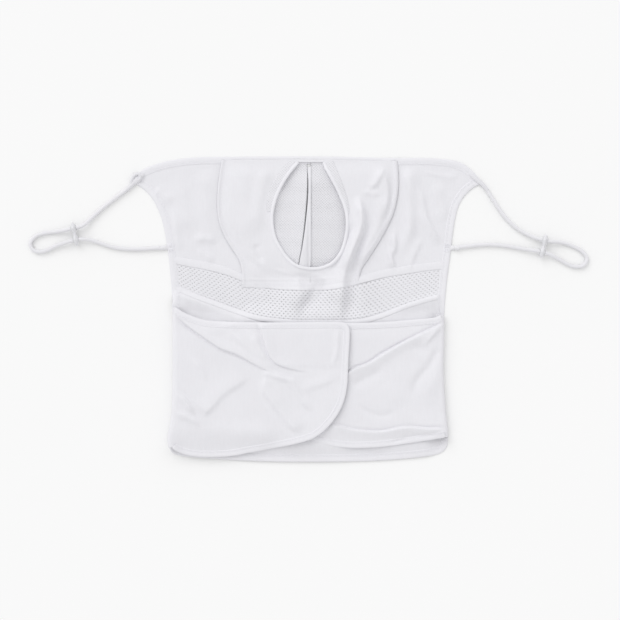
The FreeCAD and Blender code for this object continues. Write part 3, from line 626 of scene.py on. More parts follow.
def sweep(name, rings, material, uv):
    """A closed tube through rings of points, each with the same number of points."""
    count, sides = rings.shape[:2]
    faces = []
    for here in range(0, (count - 1) * sides, sides):
        there = here + sides
        for k in range(sides):
            after = (k + 1) % sides
            faces.append([here + k, here + after, there + after, there + k])
    faces.append(list(range(sides))[::-1])
    faces.append([(count - 1) * sides + k for k in range(sides)])
    return new_object(name, rings.reshape(-1, 3), faces, material, uv.reshape(-1, 2))


def round_turn(count):
    """Angles all the way round, count of them."""
    return np.linspace(0, 2 * math.pi, count, endpoint=False)


def tube_rings(points, ways, wide, tall, sides):
    """Rings round a path: at each point, a half width across it and a half height up."""
    across = np.cross(ways, (0, 0, 1.0))
    across /= np.linalg.norm(across, axis=1)[:, None]
    up = np.cross(across, ways)
    wide, tall = (np.broadcast_to(half, len(points))[:, None] for half in (wide, tall))
    return np.stack([points + wide * math.cos(a) * across + tall * math.sin(a) * up
                     for a in round_turn(sides)], 1)


def tube_places(along, girth, sides):
    """A tube's places on its cloth: along it, and round it."""
    return np.stack(np.meshgrid(along, girth / sides * np.arange(sides), indexing="ij"), -1)


# A turned hem's section: how far in from the edge, and how high off the cloth. It rolls over the
# edge, swells between the edge and the stitching, and is drawn down along the two rows of stitches.
HEM_SECTION = [(0.0, -0.45), (-0.15, -0.05), (0.1, 0.25), (0.5, 0.42), (1.4, 0.55), (2.6, 0.55),
    (3.5, 0.42), (4.0, 0.27), (4.6, 0.36), (5.2, 0.27), (5.6, 0.2), (6.2, 0.03), (6.5, -0.3),
    (3.5, -0.6), (1.0, -0.6)]
STITCH_ROWS = (4.05, 5.25)


def hem(name, path, place, material, width=HEM, inward=1.0):
    """A turned hem along a path. inward is 1 where the cloth lies on the path's left, else -1."""
    points, ways = evenly(path, 1.1)
    sideways = inward * to_left(ways)
    scale = width / HEM
    section = HEM_SECTION if inward < 0 else HEM_SECTION[::-1]
    columns, uv = [], []
    for across, height in section:
        places = points + sideways * across * scale
        columns.append(place(places, np.full(len(places), height)))
        uv.append(places + sideways * height * 0.3)
    return sweep(name, np.stack(columns, 1), material, np.stack(uv, 1))


# A stitch: place along it and girth, as shares of its length and of the thread's, and its height.
STITCH = [(-0.5, 0.25, -0.16), (-0.36, 0.85, 0.02), (0, 1.0, 0.1), (0.36, 0.85, 0.02),
          (0.5, 0.25, -0.16)]
STITCH_SIDES = 6


def stitches(name, rows, place, material, length=2.1, gap=1.0, radius=0.15, height=0.38):
    """Rows of stitches: a short rounded thread for each, lying on the cloth."""
    points, faces, uv = [], [], []
    last = len(STITCH) - 1
    for path in rows:
        spots, ways = evenly(path, length + gap)
        start, count = sum(map(len, points)), len(spots)
        for along, girth, rise in STITCH:
            for angle in round_turn(STITCH_SIDES):
                across = radius * girth * math.cos(angle)
                places = spots + ways * along * length + to_left(ways) * across
                uv.append(places)
                points.append(place(places, height + rise + radius * girth * math.sin(angle)))

        def number(ring, k, n):
            return start + (ring * STITCH_SIDES + k % STITCH_SIDES) * count + n

        for n in range(count):
            faces += [[number(ring, k, n), number(ring, k + 1, n),
                       number(ring + 1, k + 1, n), number(ring + 1, k, n)]
                      for ring in range(last) for k in range(STITCH_SIDES)]
            faces.append([number(0, k, n) for k in reversed(range(STITCH_SIDES))])
            faces.append([number(last, k, n) for k in range(STITCH_SIDES)])
    return new_object(name, np.vstack(points), faces, material, np.vstack(uv))


def attach(piece, body, slot, *nodes):
    """Says which body a piece rides on and which CAD nodes it stands for; slot, what it's made of,
    is not used.
    """
    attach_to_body(piece, body)
    if nodes:
        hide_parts(*nodes)
    return piece


def on_cover(piece, slot, *nodes):
    return attach(piece, "cover", slot, *nodes)


# --- Materials ---

WHITE = (0.815, 0.81, 0.845)


class Nodes:
    """A material's node tree, with the steps that every cloth here shares."""

    def __init__(self, name, colour, roughness, sheen=0.0, specular=0.3):
        self.material = bpy.data.materials.new(name)
        self.material.use_nodes = True
        self.tree = self.material.node_tree
        self.shader = self.tree.nodes["Principled BSDF"]
        self.shader.inputs["Base Color"].default_value = (*colour, 1)
        self.shader.inputs["Roughness"].default_value = roughness
        self.shader.inputs["Sheen Weight"].default_value = sheen
        self.shader.inputs["Sheen Roughness"].default_value = 0.5
        self.shader.inputs["Specular IOR Level"].default_value = specular
        self.bump = None

    def node(self, kind, **settings):
        node = self.tree.nodes.new(kind)
        for key, value in settings.items():
            setattr(node, key, value)
        return node

    def link(self, output, target):
        self.tree.links.new(output, target)

    def number(self, operation, *values):
        node = self.node("ShaderNodeMath", operation=operation)
        for target, value in zip(node.inputs, values):
            if isinstance(value, (int, float)):
                target.default_value = value
            else:
                self.link(value, target)
        return node.outputs[0]

    def times(self, a, b):
        return self.number("MULTIPLY", a, b)

    def plus(self, a, b):
        return self.number("ADD", a, b)

    def place(self):
        """The cloth's own two coordinates, in millimetres."""
        uv = self.node("ShaderNodeUVMap", uv_map="cloth").outputs[0]
        split = self.node("ShaderNodeSeparateXYZ")
        self.link(uv, split.inputs[0])
        return [self.times(split.outputs[k], 1 / MM) for k in (0, 1)]

    def wave(self, value, pitch, shift=0.0):
        """A wave from 0 to 1 along value, pitch millimetres long."""
        turned = self.number("MULTIPLY_ADD", value, 2 * math.pi / pitch, shift)
        return self.number("MULTIPLY_ADD", self.number("SINE", turned), 0.5, 0.5)

    def noise(self, scale, detail=3.0, roughness=0.55, place=None):
        noise = self.node("ShaderNodeTexNoise")
        for key, value in (("Scale", scale), ("Detail", detail), ("Roughness", roughness)):
            noise.inputs[key].default_value = value
        if place is None:
            place = self.node("ShaderNodeTexCoord").outputs["Object"]
        self.link(place, noise.inputs["Vector"])
        return noise.outputs["Fac"]

    def streaks(self, x, y):
        """Noise drawn out along the cloth's columns, as knitting shows."""
        place = self.node("ShaderNodeCombineXYZ")
        self.link(self.times(x, 0.55), place.inputs[0])
        self.link(self.times(y, 0.09), place.inputs[1])
        return self.noise(1.0, 3.0, 0.6, place.outputs[0])

    def tint(self, factor, dark, light):
        """Colours the surface between two tones."""
        ramp_node = self.node("ShaderNodeValToRGB")
        ramp_node.color_ramp.elements[0].color = (*dark, 1)
        ramp_node.color_ramp.elements[1].color = (*light, 1)
        self.link(factor, ramp_node.inputs[0])
        self.link(ramp_node.outputs[0], self.shader.inputs["Base Color"])

    def add_bump(self, height, distance, strength=1.0):
        bump = self.node("ShaderNodeBump")
        bump.inputs["Strength"].default_value = strength
        bump.inputs["Distance"].default_value = distance * MM
        self.link(height, bump.inputs["Height"])
        if self.bump is not None:
            self.link(self.bump.outputs[0], bump.inputs["Normal"])
        self.bump = bump
        self.link(bump.outputs[0], self.shader.inputs["Normal"])

    def soften(self, factor, low, high):
        """Roughness between low and high."""
        spread = self.node("ShaderNodeMapRange")
        spread.inputs["To Min"].default_value = low
        spread.inputs["To Max"].default_value = high
        self.link(factor, spread.inputs[0])
        self.link(spread.outputs[0], self.shader.inputs["Roughness"])


def shade(colour, factor):
    return tuple(c * factor for c in colour)


def knit_material(name, colour=WHITE, wale=0.62, course=0.5, depth=0.07, contrast=0.05):
    """Plain stretch knit: columns of small V stitches, with a faint unevenness of tone. wale and
    course are the widths of its columns and rows."""
    m = Nodes(name, colour, 0.62, sheen=0.25)
    x, y = m.place()
    columns = m.wave(x, wale)
    lean = m.times(m.number("ABSOLUTE", m.number("SUBTRACT", columns, 0.5)), wale)
    rows = m.wave(m.plus(y, lean), course)
    stitch = m.times(m.number("POWER", columns, 0.6), m.plus(rows, 0.35))
    soft, streaks = m.noise(38.0), m.streaks(x, y)
    fine = m.plus(m.times(stitch, 0.3), m.times(streaks, 0.35))
    tone = m.number("MULTIPLY_ADD", soft, 0.35, fine)
    m.tint(tone, shade(colour, 1 - contrast * 2), shade(colour, 1 + contrast * 1.2))
    m.soften(m.noise(900.0, 1.0), 0.52, 0.72)
    m.add_bump(soft, 0.35, 0.35)
    m.add_bump(streaks, 0.12, 0.5)
    m.add_bump(stitch, depth, 0.6)
    return m.material


def dimple_material(name, pitch=2.4):
    """Breathable knit with rows of small dimples, staggered from row to row."""
    m = Nodes(name, WHITE, 0.66, sheen=0.2)
    x, y = m.place()
    first = m.wave(m.plus(x, y), pitch)
    second = m.wave(m.number("SUBTRACT", x, m.times(y, 1.15)), pitch, 1.2)
    rows = m.wave(y, pitch / 2)
    dimples = m.number("POWER", m.times(first, second), 1.4)
    height = m.number("SUBTRACT", m.times(rows, 0.35), dimples)
    # Painted shade: the dimples' hollows are coloured darker, following the same height as the
    # bump.
    m.tint(m.plus(height, 0.75), shade(WHITE, 0.84), shade(WHITE, 0.99))
    m.add_bump(height, 0.32, 0.8)
    return m.material


def tape_material(name, colour, pitch=0.55, depth=0.08, slant=0.6):
    """Woven or bound tape: fine slanting ribs."""
    m = Nodes(name, colour, 0.6, sheen=0.2)
    x, y = m.place()
    ribs = m.wave(m.plus(x, m.times(y, slant)), pitch)
    soft = m.noise(60.0)
    tone = m.number("MULTIPLY_ADD", ribs, 0.5, m.times(soft, 0.5))
    m.tint(tone, shade(colour, 0.92), shade(colour, 1.04))
    m.add_bump(soft, 0.3, 0.3)
    m.add_bump(ribs, depth, 0.6)
    return m.material


def braid_material(name, colour, girth, crossings=8):
    """Braided elastic: two sets of strands crossing at a slant. The first coordinate runs along the
    cord."""
    m = Nodes(name, colour, 0.58, sheen=0.25)
    along, around = m.place()
    one = m.wave(m.plus(along, around), girth / crossings)
    other = m.wave(m.number("SUBTRACT", along, around), girth / crossings)
    strands = m.number("MAXIMUM", one, other)
    # Painted shade: the grooves between the strands are coloured darker, following the same relief
    # as the bump.
    m.tint(strands, shade(colour, 0.9), shade(colour, 1.02))
    m.add_bump(strands, 0.16, 0.8)
    return m.material


def loop_material(name, colour, scale, depth):
    """Fastener tape: a dense pile of loops or hooks."""
    m = Nodes(name, colour, 0.7, sheen=0.3)
    coordinates = m.node("ShaderNodeTexCoord")
    cells = m.node("ShaderNodeTexVoronoi")
    cells.inputs["Scale"].default_value = scale
    m.link(coordinates.outputs["Object"], cells.inputs["Vector"])
    pile = cells.outputs["Distance"]
    m.tint(pile, shade(colour, 1.04), shade(colour, 0.8))
    m.add_bump(pile, depth, 0.8)
    return m.material


def silicone_material(name):
    """Milky soft silicone with a faint haze."""
    m = Nodes(name, (0.72, 0.72, 0.745), 0.4, specular=0.4)
    m.shader.inputs["Subsurface Weight"].default_value = 0.35
    m.shader.inputs["Subsurface Radius"].default_value = (0.004, 0.004, 0.004)
    m.shader.inputs["Subsurface Scale"].default_value = 0.5
    haze = m.noise(700.0, 2.0)
    m.soften(haze, 0.28, 0.42)
    m.add_bump(haze, 0.04, 0.4)
    return m.material


def floor_material(tone=0.915, unevenness=0.004):
    m = Nodes("floor_paper", (tone,) * 3, 0.9, specular=0.0)
    m.tint(m.noise(3.0, 2.0), (tone - unevenness,) * 3, (tone + unevenness,) * 3)
    return m.material


CORD_DIAMETER = 0.0032  # in metres, as its routes are
CORD_GIRTH = math.pi * CORD_DIAMETER / MM
KNIT_CLOTH = knit_material("stretch_knit")
HEM_CLOTH = knit_material("hem_knit", shade(WHITE, 1.01), 0.62, 0.5, 0.06, 0.04)
MESH_CLOTH = knit_material("mesh_knit", WHITE, 0.5, 0.4, 0.05, 0.04)
DIMPLED_CLOTH = dimple_material("dimpled_knit")
BINDING = tape_material("rolled_binding", shade(WHITE, 1.04))
TAB_CLOTH = tape_material("tab_tape", shade(WHITE, 0.97), 0.7, 0.14)
THREAD = tape_material("thread", shade(WHITE, 1.08), 0.3, 0.03, 1.0)
BRAID = braid_material("braided_elastic", (0.825, 0.82, 0.85), CORD_GIRTH)
TAPE_TONE = (0.84, 0.84, 0.86)
HOOKS = loop_material("hook_tape", TAPE_TONE, 1500.0, 0.3)
LOOPS = loop_material("loop_tape", TAPE_TONE, 900.0, 0.4)
SILICONE = silicone_material("soft_silicone")


def add_floor(half=2.0):
    mesh = bpy.data.meshes.new("floor")
    corners = [(x * half, y * half, 0) for x, y in ((-1, -1), (1, -1), (1, 1), (-1, 1))]
    mesh.from_pydata(corners, [], [(0, 1, 2, 3)])
    mesh.materials.append(floor_material())
    floor = bpy.data.objects.new("floor", mesh)
    bpy.context.scene.collection.objects.link(floor)


add_floor()

# --- Ear cords, their locks, tabs and bar tacks ---

# Each cord's route, in metres: from its tab at the ear corner, through the upper eye of its lock,
# round the loop, back through the lower eye and on to the bar tack.
LEFT_ROUTE = (
    (-0.152, 0.10225, 0.0018),
    (-0.1615, 0.095, 0.0018),
    (-0.1736, 0.0858, 0.0018),
    (-0.1836, 0.0764, 0.0024),
    (-0.1886, 0.0712, 0.0036),
    (-0.1926, 0.06953, 0.00405),
    (-0.2032, 0.06723, 0.00405),
    (-0.2116, 0.0656, 0.0024),
    (-0.2216, 0.0649, 0.0018),
    (-0.231, 0.062, 0.0018),
    (-0.236, 0.0552, 0.0018),
    (-0.2316, 0.0486, 0.0018),
    (-0.2224, 0.0486, 0.0018),
    (-0.2116, 0.0544, 0.0024),
    (-0.2009, 0.0575, 0.00405),
    (-0.1905, 0.05973, 0.00405),
    (-0.1804, 0.058, 0.0024),
    (-0.1646, 0.052, 0.0018),
    (-0.148, 0.0506, 0.0018),
    (-0.134, 0.0514, 0.0018),
    (-0.1246, 0.052, 0.0018),
)
RIGHT_ROUTE = (
    (0.152, 0.10225, 0.0018),
    (0.1582, 0.0924, 0.0018),
    (0.1662, 0.0798, 0.0018),
    (0.177, 0.0688, 0.0018),
    (0.1888, 0.0623, 0.0026),
    (0.1963, 0.05933, 0.00405),
    (0.2069, 0.05703, 0.00405),
    (0.2156, 0.057, 0.0024),
    (0.2262, 0.0536, 0.0018),
    (0.235, 0.0484, 0.0018),
    (0.2386, 0.042, 0.0018),
    (0.2344, 0.0358, 0.0018),
    (0.2246, 0.036, 0.0018),
    (0.214, 0.0424, 0.0024),
    (0.2047, 0.04727, 0.00405),
    (0.1941, 0.04957, 0.00405),
    (0.1836, 0.051, 0.0024),
    (0.168, 0.054, 0.0018),
    (0.151, 0.055, 0.0018),
    (0.1356, 0.0532, 0.0018),
    (0.1246, 0.052, 0.0018),
)


def spline_points(name, route):
    """The points of the smooth spline whose control points are the route's, in metres."""
    data = bpy.data.curves.new(name, "CURVE")
    data.dimensions = "3D"
    data.resolution_u = 16
    spline = data.splines.new("NURBS")
    spline.points.add(len(route) - 1)
    for point, spot in zip(spline.points, route):
        point.co = (*spot, 1)
    spline.order_u = 3
    spline.use_endpoint_u = True
    curve = bpy.data.objects.new(name, data)
    mesh = bpy.data.meshes.new_from_object(curve)
    points = np.array([tuple(v.co) for v in mesh.vertices])
    bpy.data.meshes.remove(mesh)
    bpy.data.objects.remove(curve)
    bpy.data.curves.remove(data)
    return points


CORD_SIDES = 14


def ear_cord(side_name, route, length):
    """A braided elastic cord as a tube along its spline, which follows its lock."""
    path = spline_points(f"route_{side_name}", route)
    points, ways = evenly(path / MM, 1.0)
    radius = CORD_DIAMETER / MM / 2
    rings = tube_rings(points, ways, radius, radius, CORD_SIDES)
    along = np.arange(len(points)) * np.linalg.norm(points[1] - points[0])
    uv = tube_places(along, CORD_GIRTH, CORD_SIDES)
    cord = sweep(f"ear_cord_{side_name}_braid", rings, BRAID, uv)
    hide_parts(f"ear_cord_{side_name}")
    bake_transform(cord)
    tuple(route[0])


# A cord lock's profile from its waist out: place along it, half its width and half its height.
LOCK_HALF = [(0, 1.4, 2.1), (0.7, 1.5, 2.2), (4.3, 3.15, 3.35), (5.0, 3.25, 3.45),
             (5.7, 3.15, 3.35), (9.5, 0.9, 1.4), (10.1, 0.3, 0.7)]
LOCK_PROFILE = evenly(np.array([(-along, wide, tall) for along, wide, tall in LOCK_HALF[:0:-1]]
                               + LOCK_HALF), 0.4)[0]
LOCK_SIDES, LOCK_CORNERS = 24, 1.45  # how round its section is: 2 would be an ellipse, 1 a diamond
LOCK_EYE, LOCK_BORE = 5.0, 1.75  # how far each eye is from the middle, and its radius
LOCK_TURN = math.radians(12.2)


def cord_lock(side_name, side):
    """A two-eyed slider of soft silicone, turned as the cord runs."""
    turn = round_turn(LOCK_SIDES)
    sine, cosine = np.sin(turn), np.cos(turn)
    stretch = (np.abs(cosine) ** LOCK_CORNERS + np.abs(sine) ** LOCK_CORNERS) ** (-1 / LOCK_CORNERS)
    rings = np.array([np.stack([wide * cosine * stretch, np.full(LOCK_SIDES, along),
                                tall * sine * stretch], 1) for along, wide, tall in LOCK_PROFILE])
    lock = sweep(f"cord_lock_{side_name}_silicone", rings, SILICONE, rings[:, :, :2])
    for way in (-1, 1):
        bpy.ops.mesh.primitive_cylinder_add(vertices=32, radius=LOCK_BORE * MM, depth=0.02,
                                            location=(0, way * LOCK_EYE * MM, 0),
                                            rotation=(0, math.pi / 2, 0))
        drill = bpy.context.object
        cut = lock.modifiers.new("eye", "BOOLEAN")
        cut.operation, cut.solver, cut.object = "DIFFERENCE", "EXACT", drill
        bpy.context.view_layer.update()
        whole = lock.evaluated_get(bpy.context.evaluated_depsgraph_get())
        lock.data = bpy.data.meshes.new_from_object(whole)
        lock.modifiers.clear()
        bpy.data.objects.remove(drill)
    low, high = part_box(f"cord_lock_{side_name}")
    place = Matrix.Translation((low + high) / 2) @ Matrix.Rotation(-side * LOCK_TURN, 4, "Z")
    lock.data.transform(place)
    attach(lock, f"{side_name}_lock", "soft_plastic", f"cord_lock_{side_name}")


TUBE_SIDES = 18
TUBE_LOW = 0.15  # no tube comes nearer the floor than this


def flattened_tube(name, side, spine, widths, heights, material):
    """A tube along a spine drawn for the right side, from its half widths and half heights."""
    points, ways = evenly(smooth(spine, 0.5), 0.5)
    share = np.linspace(0, 1, len(points))
    wide, tall = (np.interp(share, np.linspace(0, 1, len(half)), half)
                  for half in (widths, heights))
    rings = tube_rings(points, ways, wide, tall, TUBE_SIDES)
    rings[:, :, 0] *= side
    rings[:, :, 2] = np.maximum(rings[:, :, 2], TUBE_LOW)
    uv = tube_places(0.5 * np.arange(len(points)), CORD_GIRTH, TUBE_SIDES)
    return sweep(name, rings, material, uv)


# The folded tab at each ear corner: its spine, half widths and half heights. On the left it stands
# over the hems, with the cord's end knotted in it. On the right the cord seems to run straight out
# of the corner.
TABS = {
    "left": ([(138.2, 113.6, 1.4), (141.0, 112.6, 1.8), (144.6, 109.6, 1.9), (148.0, 106.2, 1.9),
              (151.0, 103.2, 1.85), (153.2, 100.9, 1.8)], [0.8, 2.3, 2.9, 2.6, 1.9, 1.75, 1.7],
             [0.4, 1.0, 1.4, 1.6, 1.8, 1.75, 1.65]),
    "right": ([(137.5, 114.2, 1.3), (141.5, 112.0, 1.7), (145.4, 108.8, 1.9), (149.0, 105.6, 1.9),
               (151.4, 102.9, 1.85), (153.2, 100.7, 1.8)], [0.6, 1.7, 2.0, 1.85, 1.75, 1.7, 1.66],
              [0.3, 0.8, 1.2, 1.5, 1.7, 1.7, 1.65]),
}
KNOT = ([(148.6, 104.4, 2.2), (149.0, 108.4, 2.6), (146.8, 112.8, 2.9), (143.4, 114.6, 3.0),
         (141.2, 112.4, 3.0), (142.8, 109.6, 2.9), (145.6, 108.6, 2.5)],
        [1.1, 1.35, 1.4, 1.4, 1.3, 1.2, 0.7], [1.0, 1.2, 1.3, 1.3, 1.2, 1.0, 0.5])


def cord_tab(side_name, side):
    tab = flattened_tube(f"cord_tab_{side_name}_fold", side, *TABS[side_name], TAB_CLOTH)
    on_cover(tab, "binding_tape", f"cord_tab_{side_name}")
    if side < 0:
        on_cover(flattened_tube("cord_knot", side, *KNOT, TAB_CLOTH), "binding_tape")


# The cord's lower end dives under the side hem: its spine, drawn for the right side from the hem's
# edge, then its half widths and half heights.
TACK_SPINE = [(7.2, -0.6, 1.8), (4.0, -0.1, 1.8), (1.6, 0.0, 1.45), (0.0, 0.0, 0.95),
              (-1.8, 0.0, 0.6), (-4.0, 0.0, 0.4)]
TACK_WIDTHS, TACK_HEIGHTS = [1.62, 1.66, 1.75, 2.0, 2.0, 1.6], [1.62, 1.62, 1.35, 0.8, 0.4, 0.2]
TACK_Y = 52
TACK_THREADS = 7


def bar_tack(side_name, side):
    """The cord's lower end, pressed flat under the hem, and the dense tack that holds it down."""
    edge = LEFT_EDGE if side < 0 else RIGHT_EDGE
    edge_x = float(np.interp(-TACK_Y, -edge[:, 1], np.abs(edge[:, 0])))
    spine = [(edge_x + x, TACK_Y + y, z) for x, y, z in TACK_SPINE]
    end = flattened_tube(f"cord_end_{side_name}", side, spine, TACK_WIDTHS, TACK_HEIGHTS, BRAID)
    on_cover(end, "elastic_cord")
    rows = [np.array([(side * (edge_x - 5.6 + 0.7 * k), TACK_Y - 2.4 + 0.3 * (k % 2)),
                      (side * (edge_x - 5.4 + 0.7 * k), TACK_Y + 1.6 + 0.3 * (k % 2))])
            for k in range(TACK_THREADS)]
    hem_top = np.array(HEM_SECTION[:13])

    def over(places, height):
        inward = edge_x - np.abs(places[:, 0])
        return on_ground(places, height + np.interp(inward, hem_top[:, 0], hem_top[:, 1]))

    tack = stitches(f"cord_bartack_{side_name}_thread", rows, over, THREAD, 3.9, 0.2, 0.24, 0.04)
    on_cover(tack, "thread", f"cord_bartack_{side_name}")


for side_name, side, route, length in (("left", -1, LEFT_ROUTE, 0.217),
                                       ("right", 1, RIGHT_ROUTE, 0.231)):
    cord_lock(side_name, side)
    ear_cord(side_name, route, length)
    cord_tab(side_name, side)
    bar_tack(side_name, side)

# --- The layer on the floor ---


def part_of(path, low, high):
    """The stretch of a path whose x lies between low and high."""
    return path[(path[:, 0] >= low) & (path[:, 0] <= high)]


UNDER_HEM, UNDER_SEAM = 2.2, 2.5  # how far a panel's edge lies inside its hem and its seam


def face_panel(side_name, side):
    """One face panel, from the centre seam to the side. Under the shield it is the dimpled knit."""
    outer = LEFT_EDGE if side < 0 else RIGHT_EDGE
    edge = inset(outer, -side * UNDER_HEM)
    edge = edge[(edge[:, 1] > 43) & (edge[:, 1] < 104.5)]
    top, band = inset(TOP_EDGE, -UNDER_HEM), BAND_TOP - (0, UNDER_SEAM)
    if side < 0:
        outline = ring_of(part_of(top, -144.5, SLIT[0, 0]), SLIT,
                          part_of(band, -111, SLIT[-1, 0])[::-1], edge[::-1])
    else:
        outline = ring_of(part_of(top, SEAM_X, 144.5), edge, part_of(band, SEAM_X, 116)[::-1])
    places, faces = triangulate(outline, 1.25)
    panel = two_faced(f"front_panel_{side_name}_cloth", places, faces, on_ground, KNIT_CLOTH)
    panel.data.materials.append(DIMPLED_CLOTH)
    under = ring_of(SHIELD_LEFT, SHIELD_LOW, SHIELD_RIGHT[::-1])
    middles = np.array([tuple(face.center)[:2] for face in panel.data.polygons]) / MM
    panel.data.polygons.foreach_set("material_index", inside(middles, under).astype(int))
    on_cover(panel, "knit", f"front_panel_{side_name}")


def seam_flap():
    """The centre front seam: a narrow flap beside it, with a dark slit along its free edge."""
    slit, _ = evenly(SLIT, 0.8)
    gap = np.interp(slit[:, 1], [27, 44, 60, 90, 108, 118], [0.3, 0.35, 0.6, 1.1, 0.8, 0.2])
    free = slit + np.stack([gap, np.zeros(len(gap))], 1)
    far = np.array([(SEAM_X + 1.4, y) for y in np.arange(27, 121, 1.5)])
    places, faces = triangulate(ring_of(free, far), 0.8)

    def lapped(spots, height):
        """It arches up between its free edge and the seam, where a groove and a bead run."""
        x = spots[:, 0]
        free_x = np.interp(spots[:, 1], free[::-1, 1], free[::-1, 0])
        across = np.clip((x - free_x) / np.maximum(SEAM_X - free_x, 0.5), 0, 1)
        bead, groove = 0.6 * bell((x - SEAM_X - 0.3) / 0.6), 0.5 * bell((x - SEAM_X + 1.3) / 0.6)
        return on_ground(spots, height + 0.6 + 0.6 * np.sin(math.pi * across) + bead - groove)

    flap = two_faced("centre_front_seam_flap", places, faces, lapped, KNIT_CLOTH)
    on_cover(flap, "hem_knit", "centre_front_seam")


MESH_PITCH, MESH_ROWS = 3.7, 13
MESH_LEFT, MESH_RIGHT = -114.0, 117.0
MESH_FROM, MESH_SHARE = 0.10, 0.72  # where the holes begin up the band, and how much they take
HOLE_X, HOLE_Y = 0.102, 0.168  # half a hole's width and height, in columns and rows


def vent_band():
    """The mesh band: staggered rows of six-sided holes, between two curved edges."""
    columns = round((MESH_RIGHT - MESH_LEFT) / MESH_PITCH)
    points, faces, index = [], [], {}

    def corner(half, line):
        if (half, line) not in index:
            index[(half, line)] = len(points)
            points.append((half / 2, line))
        return index[(half, line)]

    for row in range(MESH_ROWS):
        for column in range(columns):
            start = 2 * column + row % 2
            outer = ([corner(start + k, row) for k in (0, 1, 2)]
                     + [corner(start + k, row + 1) for k in (2, 1, 0)])
            first = len(points)
            middle = (start + 1) / 2
            points += [(middle + HOLE_X * math.cos(a), row + 0.5 + HOLE_Y * math.sin(a))
                       for a in np.radians((210, 270, 330, 30, 90, 150))]
            for k in range(6):
                after = (k + 1) % 6
                faces.append([outer[k], outer[after], first + after, first + k])
    grid = np.array(points)
    x = MESH_LEFT + (MESH_RIGHT - MESH_LEFT) * grid[:, 0] / (columns + 0.5)
    low, high = heights_at(x, BAND_LOW, BAND_TOP)
    share = MESH_FROM + MESH_SHARE * grid[:, 1] / MESH_ROWS
    places = np.stack([x, low + (high - low) * share], 1)
    band = two_faced("mesh_vent_band_net", places, faces, on_ground, MESH_CLOTH, 0.4)
    on_cover(band, "mesh_knit", "mesh_vent_band")


STRIP_ROWS = 8


def seam_strip(name, low_path, high_path, node):
    """A plain seam strip along the vent band, pillowed between its two edges."""
    xs = np.arange(low_path[0, 0], low_path[-1, 0], 1.0)
    low, high = heights_at(xs, low_path, high_path)
    places = np.array([(x, a + (b - a) * share) for x, a, b in zip(xs, low, high)
                       for share in np.linspace(0, 1, STRIP_ROWS)])
    faces = [[i, i + STRIP_ROWS, i + STRIP_ROWS + 1, i + 1]
             for i in range((len(xs) - 1) * STRIP_ROWS) if (i + 1) % STRIP_ROWS]

    def pillowed(spots, height):
        low, high = heights_at(spots[:, 0], low_path, high_path)
        share = np.clip((spots[:, 1] - low) / (high - low), 0, 1)
        return on_ground(spots, height + 0.08 + 0.34 * np.sin(math.pi * share))

    strip = two_faced(name, places, faces, pillowed, HEM_CLOTH, 0.6)
    on_cover(strip, "hem_knit", node)


def neck_panel():
    low = inset(BOTTOM_EDGE, 2.0)
    top = part_of(BAND_LOW + (0, 0.8), -110.5, 112.5)
    right = np.array([(113.0, -6.0), (113.4, -60.0), (116.4, -104.0)])
    left = np.array([(-113.5, -104.0), (-110.4, -60.0), (-110.6, -4.0)])
    places, faces = triangulate(ring_of(top, right, low[low[:, 1] < -112][::-1], left), 1.6)
    panel = two_faced("neck_panel_cloth", places, faces, on_ground, KNIT_CLOTH)
    on_cover(panel, "knit", "neck_panel")


face_panel("left", -1)
face_panel("right", 1)
seam_flap()
vent_band()
seam_strip("vent_seam_upper_strip", BAND_TOP - (0, 7.2), BAND_TOP, "vent_seam_upper")
seam_strip("vent_seam_lower_strip", BAND_LOW - (0, 0.6), BAND_LOW + (0, 4.2), "vent_seam_lower")
neck_panel()

HEMS = (
    ("top_hem", TOP_EDGE, -1),
    ("side_hem_left", LEFT_EDGE, 1),
    ("side_hem_right", RIGHT_EDGE, -1),
    ("bottom_hem", BOTTOM_EDGE, 1),
)
for name, path, inward in HEMS:
    on_cover(hem(f"{name}_roll", path, on_ground, HEM_CLOTH, inward=inward), "hem_knit", name)
    rows = [inset(path, inward * across) for across in STITCH_ROWS]
    on_cover(stitches(f"{name}_stitches", rows, on_ground, THREAD), "thread")

# --- The mouth shield and its opening ---


def mouth_shield():
    left, right = (edge[edge[:, 1] < 126] for edge in (SHIELD_LEFT, SHIELD_RIGHT))
    top = part_of(TOP_EDGE, SHIELD_LEFT[0, 0], SHIELD_RIGHT[0, 0]) - (0, 2.4)
    outline = ring_of(left, SHIELD_LOW, right[::-1], top[::-1])
    places, faces = triangulate(outline, 0.95, ring_of(RIM))
    piece = two_faced("mouth_shield_cloth", places, faces, on_shield, KNIT_CLOTH)
    on_cover(piece, "knit", "mouth_shield")


ROLL_WIDE, ROLL_TALL = 1.45, 0.95  # half the rolled binding's width and height
ROLL_SIDES, ROLL_STEP = 14, 0.9


def opening_binding():
    """The rolled binding: a flattened tube that follows the rim."""
    points, ways = evenly(RIM, ROLL_STEP)
    base = shield(points)
    rings = np.stack([np.column_stack([points - to_left(ways) * (ROLL_WIDE * math.cos(a) + 0.2),
                                       base + ROLL_TALL * math.sin(a) - 0.1])
                      for a in round_turn(ROLL_SIDES)], 1)
    uv = tube_places(ROLL_STEP * np.arange(1, len(points) + 1), 0.65 * ROLL_SIDES, ROLL_SIDES)
    on_cover(sweep("opening_binding_roll", rings, BINDING, uv), "binding_tape", "opening_binding")


FACING_LEFT = smooth([(-15.5, 125.5), (-22, 118), (-28, 109), (-32.6, 99), (-34.6, 90),
    (-33.6, 82)])
FACING_RIGHT = smooth([(22.5, 125.5), (26.6, 115.5), (31, 104), (34.6, 93), (36, 84), (35, 77)])


